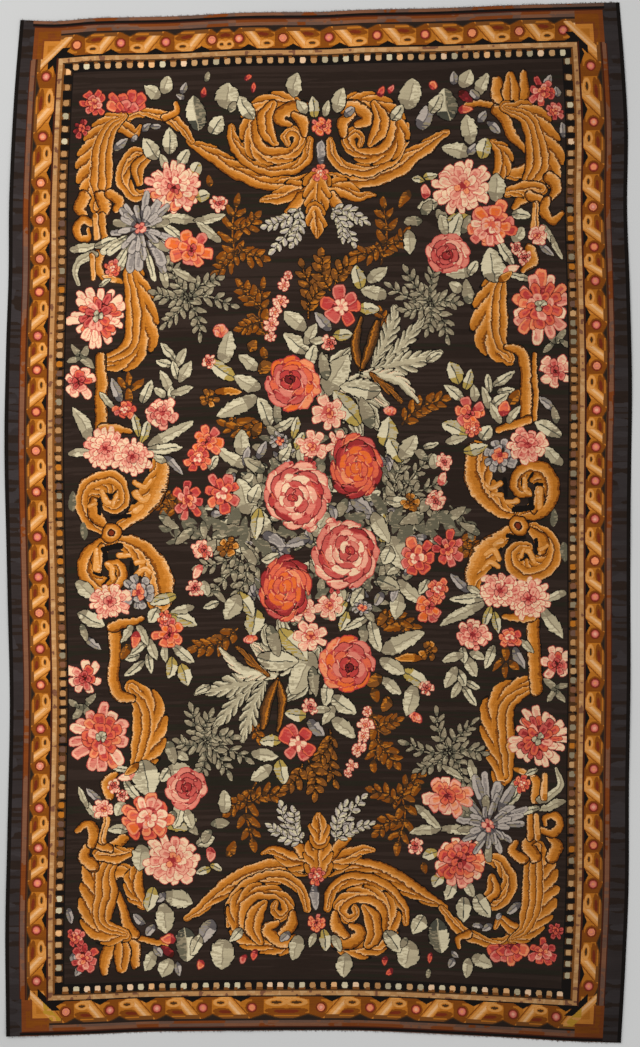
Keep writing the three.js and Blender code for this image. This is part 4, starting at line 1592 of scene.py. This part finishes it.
def charted_colour(start, colours):
    """The colour of the yarn in the cell of the tile that a place lies in."""
    tile = start.node("ShaderNodeUVMap", {"uv_map": "Tile"})
    column = (tile.part(0) * TILE_COLUMNS).floor()
    line = (tile.part(1) * TILE_ROWS).floor()
    which_word = (column / WORD_CELLS).floor()
    chosen = 0.0
    for number in range(TILE_ROWS):
        picks = start.node(
            "ShaderNodeAttribute", {"attribute_name": f"picks_{number}", "output": "Vector"},
        )
        word = 0.0
        for axis in range(TILE_WORDS):
            word = picks.part(axis) * which_word.is_number(axis) + word
        chosen = word * line.is_number(number) + chosen
    digit = column - which_word * WORD_CELLS
    divisor = 0.0
    for number in range(WORD_CELLS):
        divisor = digit.is_number(number) * float(YARN_LIMIT ** number) + divisor
    yarn = (chosen / divisor).floor().modulo(float(YARN_LIMIT))

    colours = colours + [colours[0]] * (YARN_LIMIT - len(colours))
    ramps = []
    for first in (0, RAMP_STOPS):
        place = ((yarn - first) + 0.5) / RAMP_STOPS
        stops = colours[first:first + RAMP_STOPS]
        ramps.append(start.node("ShaderNodeValToRGB", {"stops": stops}, Fac=place))
    return ramps[0].blend(ramps[1], yarn > RAMP_STOPS - 0.5)


def yarn_lightness(place, streak, wool):
    """How light the yarn comes out: streaks of dye along the weft, dirty areas, and a darkening
    towards the right side, towards both ends and their corners, and along the bottom end.
    """
    dye_lot = place.mottle((1.2, 26, 1), 3.0)
    dirt = place.mottle((5, 5, 1), 4.0)
    light = (
        dye_lot.between(0.3, 0.7) * 0.16 + streak.between(0.25, 0.75) * 0.26
        + wool.between(0.25, 0.75) * 0.16 + dirt.between(0.3, 0.7) * 0.12 + 0.66
    )
    # Darker towards the right side, towards both ends and more so at their corners, and along the
    # bottom end
    across = place.part(0) / (OVERALL_WIDTH / 2)
    along = place.part(1) / (OVERALL_LENGTH / 2)
    left_to_right_slope = 1.045 - across * 0.17 - across * across * 0.05 + along * 0.03
    at_ends = along * along * (across * across * 0.12 + 0.09)
    lowest = (1 - along).between(1.84, 1.97) * 0.13
    return light * (left_to_right_slope - at_ends - lowest)


def weave_waves(place, pick_pitch):
    """The ribs over the warps and the loops of the picks that cross them, offset on every second
    warp. Both run from 0 to 1."""
    x = place.part(0) / WARP_PITCH
    y = place.part(1) / pick_pitch
    odd = x.floor().maths("PINGPONG", 1.0)
    turns = (x, y + odd * 0.5)
    return [(turn * math.tau).maths("COSINE") * 0.5 + 0.5 for turn in turns]


def wool_material(name, settings):
    """Dyed wool, weft-faced: the chart's colours with the uneven dye and the darkening across the
    cloth, painted shade in the grooves between the ribs, and the ribs and the picks.
    """
    material = bpy.data.materials.new(name)
    material.use_nodes = True
    tree = material.node_tree
    tree.nodes.clear()
    output = tree.nodes.new("ShaderNodeOutputMaterial")
    shader = tree.nodes.new("ShaderNodeBsdfPrincipled")
    tree.links.new(shader.outputs[0], output.inputs[0])

    start = Tint(tree, None)
    place = start.node("ShaderNodeTexCoord", {"output": "Object"})
    streak = place.mottle((22, 480, 1), 2.0)
    wool = place.mottle((420, 420, 1), 2.0)
    rib, loops = weave_waves(place, settings.pick_pitch * MM)
    # Painted shade: the colour is darkened in the grooves between the ribs, where the weave's
    # relief lies low
    groove_shade = (1 - rib).maths("POWER", 3.0) * 0.16
    dyed = charted_colour(start, yarn_colours(settings))
    dyed = dyed.darkened(yarn_lightness(place, streak, wool)).darkened(1 - groove_shade)
    height = rib * 0.55 + loops * 0.25 + wool * 0.2 + streak * 0.15
    bump = start.node(
        "ShaderNodeBump", Height=height, Strength=settings.relief, Distance=RELIEF_DEPTH,
    )
    for key, value in (("Base Color", dyed), ("Roughness", 0.86 + wool * 0.12), ("Normal", bump)):
        tree.links.new(value.socket, shader.inputs[key])
    shader.inputs["Specular IOR Level"].default_value = 0.12
    return material


def warp_wool(name):
    """Undyed brown warp wool, worn and a little dusty."""
    material = bpy.data.materials.new(name)
    material.use_nodes = True
    tree = material.node_tree
    shader = tree.nodes["Principled BSDF"]
    start = Tint(tree, None)
    place = start.node("ShaderNodeTexCoord", {"output": "Object"})
    speck = start.node("ShaderNodeTexNoise", Vector=place, Scale=900.0, Detail=2.0)
    dark, light = start.node("ShaderNodeRGB"), start.node("ShaderNodeRGB")
    dark.socket.default_value = (*linear(YARNS["soot"]), 1)
    light.socket.default_value = (*linear(YARNS["mauve"]), 1)
    tree.links.new(dark.blend(light, speck.between(0.3, 0.8)).socket, shader.inputs["Base Color"])
    shader.inputs["Roughness"].default_value = 0.95
    shader.inputs["Specular IOR Level"].default_value = 0.1
    return material


def end_lines():
    """A line of points along both ends of the cloth, halfway up it, and which way each faces."""
    places = np.linspace(-END_REACH, END_REACH, END_POINTS)
    points, facing = [], []
    for end in (-1, 1):
        ends = np.full_like(places, end)
        x, y = plan_point(places, ends)
        z = LOW.z + cloth_rise(places, ends) + END_HEIGHT
        points += np.stack([x, y - end * END_INSET, z], -1).tolist()
        facing += [float(end)] * END_POINTS
    edges = [(k, k + 1) for k in range(2 * END_POINTS - 1) if k != END_POINTS - 1]
    return points, edges, facing


def warp_end_tree():
    """Short worn ends of the warps, set along a line of points."""
    tree = bpy.data.node_groups.new("Warp ends", "GeometryNodeTree")
    face = tree.interface
    face.new_socket("Geometry", in_out="INPUT", socket_type="NodeSocketGeometry")
    for name, value in (("Spacing", WARP_PITCH), ("Length", WARP_END)):
        socket = face.new_socket(name, in_out="INPUT", socket_type="NodeSocketFloat")
        socket.default_value = value
        socket.subtype = "DISTANCE"
    seed = face.new_socket("Seed", in_out="INPUT", socket_type="NodeSocketInt")
    seed.default_value = SEED["warp_ends"]
    face.new_socket("Material", in_out="INPUT", socket_type="NodeSocketMaterial")
    face.new_socket("Geometry", in_out="OUTPUT", socket_type="NodeSocketGeometry")
    given = tree.nodes.new("NodeGroupInput").outputs

    def add(kind, settings=None, output=0, **inputs):
        made = tree.nodes.new(kind)
        for name, value in (settings or {}).items():
            setattr(made, name, value)
        for name, value in inputs.items():
            if isinstance(value, bpy.types.NodeSocket):
                tree.links.new(value, made.inputs[socket_key(name)])
            else:
                made.inputs[socket_key(name)].default_value = value
        return made.outputs[output]

    def maths(operation, *values):
        slots = {f"i{n}": value for n, value in enumerate(values)}
        return add("ShaderNodeMath", {"operation": operation}, **slots)

    def chance(low, high, step):
        shifted = maths("ADD", given["Seed"], float(step))
        return add(
            "FunctionNodeRandomValue", {"data_type": "FLOAT"}, output=1, i2=low, i3=high,
            ID=add("GeometryNodeInputIndex"), Seed=shifted,
        )

    line = add("GeometryNodeMeshToCurve", Mesh=given["Geometry"])
    spaced = add(
        "GeometryNodeResampleCurve", {"mode": "LENGTH"}, Curve=line, Length=given["Spacing"],
    )
    points = add("GeometryNodeCurveToPoints", {"mode": "EVALUATED"}, Curve=spaced)
    facing = add("GeometryNodeInputNamedAttribute", {"data_type": "FLOAT"}, Name="facing")

    # One stub, a tapering curl that is as long as it is scaled
    curl = add(
        "GeometryNodeCurveQuadraticBezier", Resolution=3, Start=(0, -0.5, 0.1),
        Middle=(0.1, 0.4, 0.12), End=(-0.05, 1.0, 0.0),
    )
    taper = add("ShaderNodeMapRange", Value=add("GeometryNodeSplineParameter"), i3=1.0, i4=0.45)
    thin = add("GeometryNodeSetCurveRadius", Curve=curl, Radius=taper)
    ring = add("GeometryNodeCurvePrimitiveCircle", Resolution=4, Radius=0.12)
    stub = add("GeometryNodeCurveToMesh", Curve=thin, Profile_Curve=ring, Fill_Caps=True)

    # It points out of the end that it stands on, leans and lifts a little, and is often missing
    way = maths("MULTIPLY_ADD", facing, -math.pi / 2, math.pi / 2)
    lean = maths("ADD", way, chance(-0.55, 0.55, 1))
    turn = add("ShaderNodeCombineXYZ", X=chance(-0.03, 0.25, 2), Z=lean)
    long = maths("MULTIPLY", given["Length"], chance(0.25, 1.3, 3))
    size = add("ShaderNodeCombineXYZ", X=given["Length"], Y=long, Z=given["Length"])
    keep = add(
        "FunctionNodeCompare", {"data_type": "FLOAT", "operation": "GREATER_THAN"},
        i0=chance(0.0, 1.0, 4), i1=0.25,
    )
    placed = add(
        "GeometryNodeInstanceOnPoints", Points=points, Selection=keep, Instance=stub,
        Rotation=turn, Scale=size,
    )
    real = add("GeometryNodeRealizeInstances", Geometry=placed)
    dyed = add("GeometryNodeSetMaterial", Geometry=real, Material=given["Material"])
    tree.links.new(dyed, tree.nodes.new("NodeGroupOutput").inputs[0])
    return tree


def new_object(name, data):
    """An object at the origin with its mesh, light or camera."""
    made = bpy.data.objects.new(name, data)
    bpy.context.scene.collection.objects.link(made)
    return made


def yarn_property(name, description, yarn):
    """A colour that a user may change, which starts as a yarn's own."""
    return bpy.props.FloatVectorProperty(
        name=name, description=description, subtype="COLOR", size=3, min=0, max=1,
        default=linear(YARNS[yarn]),
    )


class KilimSettings(bpy.types.PropertyGroup):
    """The colours and finish that a user may change."""
    ground_yarn: yarn_property("Ground", "Yarn of the dark field", "night")
    side_yarn: yarn_property("Side bands", "Yarn of the plain bands along the sides", "charcoal")
    amber_yarn: yarn_property("Amber", "Main yarn of the scrolls and the ribbon", "amber")
    stripe_yarn: yarn_property("Stripe", "Yarn of the line outside the beads", "tan")
    leaf_yarn: yarn_property("Leaves", "Main yarn of the leaves", "sage")
    pink_yarn: yarn_property("Pink", "Main yarn of the pink flowers", "pink")
    red_yarn: yarn_property("Red", "Main yarn of the red flowers", "red")
    pick_pitch: bpy.props.FloatProperty(
        name="Pick pitch", description="Height of one weft pick, in millimetres",
        default=PICK_PITCH / MM, min=0.5, max=5,
    )
    relief: bpy.props.FloatProperty(
        name="Relief", description="Strength of the weave's relief", default=0.5, min=0, max=1,
        subtype="FACTOR",
    )
    end_length: bpy.props.FloatProperty(
        name="Warp ends", description="Mean length of the worn warp ends", default=WARP_END,
        min=0.001, max=0.02, unit="LENGTH",
    )


class KILIM_OT_cloth(bpy.types.Operator):
    """Weave the cloth of the rug from its chart"""
    bl_idname = "kilim.cloth"
    bl_label = "Weave the cloth"

    def execute(self, context):
        chart = Chart()
        weave_design(chart)
        cloth = new_object("kilim_weave", make_cloth(chart))
        cloth.data.materials.append(wool_material("woven_wool", context.scene.kilim))
        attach(cloth, "root")
        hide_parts("kilim_cloth")
        return {"FINISHED"}


class KILIM_OT_warp_ends(bpy.types.Operator):
    """Set the worn warp ends along both ends of the cloth"""
    bl_idname = "kilim.warp_ends"
    bl_label = "Set the warp ends"

    def execute(self, context):
        points, edges, facing = end_lines()
        mesh = bpy.data.meshes.new("end_lines")
        mesh.from_pydata(points, edges, [])
        mesh.attributes.new("facing", "FLOAT", "POINT").data.foreach_set("value", facing)
        ends = new_object("warp_ends", mesh)
        modifier = ends.modifiers.new("Warp ends", "NODES")
        modifier.node_group = warp_end_tree()
        values = {"Length": context.scene.kilim.end_length, "Material": warp_wool("warp_wool")}
        for item in modifier.node_group.interface.items_tree:
            if item.in_out == "INPUT" and item.name in values:
                modifier[item.identifier] = values[item.name]
        shown = ends.evaluated_get(context.evaluated_depsgraph_get())
        made = bpy.data.meshes.new_from_object(shown)
        if not made.polygons:
            raise RuntimeError("the warp ends came out empty")
        ends.modifiers.clear()
        ends.data = made
        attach(ends, "root")
        return {"FINISHED"}


def add_floor():
    """A wide pale floor just under the rug."""
    mesh = bpy.data.meshes.new("floor")
    height = LOW.z - 0.2 * MM
    corners = [(-1, -1), (1, -1), (1, 1), (-1, 1)]
    mesh.from_pydata([(x * FLOOR_REACH, y * FLOOR_REACH, height) for x, y in corners], [],
                     [(0, 1, 2, 3)])
    paint = bpy.data.materials.new("floor_paint")
    paint.use_nodes = True
    shader = paint.node_tree.nodes["Principled BSDF"]
    shader.inputs["Base Color"].default_value = (*linear(FLOOR_COLOUR), 1)
    shader.inputs["Roughness"].default_value = 0.9
    shader.inputs["Specular IOR Level"].default_value = 0.1
    mesh.materials.append(paint)
    return new_object("floor", mesh)


def add_lights(scene):
    """An even sky, and lamps that face the rug's middle."""
    world = bpy.data.worlds.new("soft_studio")
    world.use_nodes = True
    sky = world.node_tree.nodes["Background"]
    sky.inputs["Color"].default_value = SKY_COLOUR
    sky.inputs["Strength"].default_value = SKY_STRENGTH
    scene.world = world
    lamps = []
    for name, place, size, power in LAMPS:
        light = bpy.data.lights.new(name, "AREA")
        light.size = size
        light.energy = power
        lamp = new_object(name, light)
        lamp.location = place
        lamp.rotation_euler = (-lamp.location).to_track_quat("-Z", "Y").to_euler()
        lamps.append(lamp)
    return lamps


def add_camera(scene):
    """A camera straight above, whose frame is the photograph's."""
    camera = bpy.data.cameras.new("camera")
    camera.sensor_fit = "VERTICAL"
    camera.sensor_height = 36
    camera.lens = camera.sensor_height * CAMERA_HEIGHT / (PHOTO_ROWS * WARP_PITCH)
    eye = new_object("camera", camera)
    eye.location = (
        (PHOTO_COLUMNS / 2 - MIDDLE[0]) * WARP_PITCH + (LOW.x + HIGH.x) / 2,
        (MIDDLE[1] - PHOTO_ROWS / 2) * WARP_PITCH + (LOW.y + HIGH.y) / 2,
        CAMERA_HEIGHT,
    )
    scene.camera = eye


class KILIM_OT_stage(bpy.types.Operator):
    """Set the floor, the light and the camera"""
    bl_idname = "kilim.stage"
    bl_label = "Set the stage"

    def execute(self, context):
        floor = add_floor()
        lamps = add_lights(context.scene)
        add_camera(context.scene)
        context.scene.view_settings.view_transform = "Standard"
        return {"FINISHED"}


class KILIM_PT_panel(bpy.types.Panel):
    """The rug's colours and the steps that make it"""
    bl_idname = "KILIM_PT_panel"
    bl_label = "Floral kilim rug"
    bl_space_type = "VIEW_3D"
    bl_region_type = "UI"
    bl_category = "Kilim"

    def draw(self, context):
        column = self.layout.column()
        for name in KilimSettings.__annotations__:
            column.prop(context.scene.kilim, name)
        for step in STEPS:
            column.operator(step.bl_idname)


STEPS = (KILIM_OT_cloth, KILIM_OT_warp_ends, KILIM_OT_stage)
CLASSES = (KilimSettings, *STEPS, KILIM_PT_panel)


def register():
    for cls in CLASSES:
        bpy.utils.register_class(cls)
    bpy.types.Scene.kilim = bpy.props.PointerProperty(type=KilimSettings)


def unregister():
    del bpy.types.Scene.kilim
    for cls in reversed(CLASSES):
        bpy.utils.unregister_class(cls)


def main():
    register()
    bpy.ops.kilim.cloth()
    bpy.ops.kilim.warp_ends()
    bpy.ops.kilim.stage()


if __name__ == "__main__":
    main()
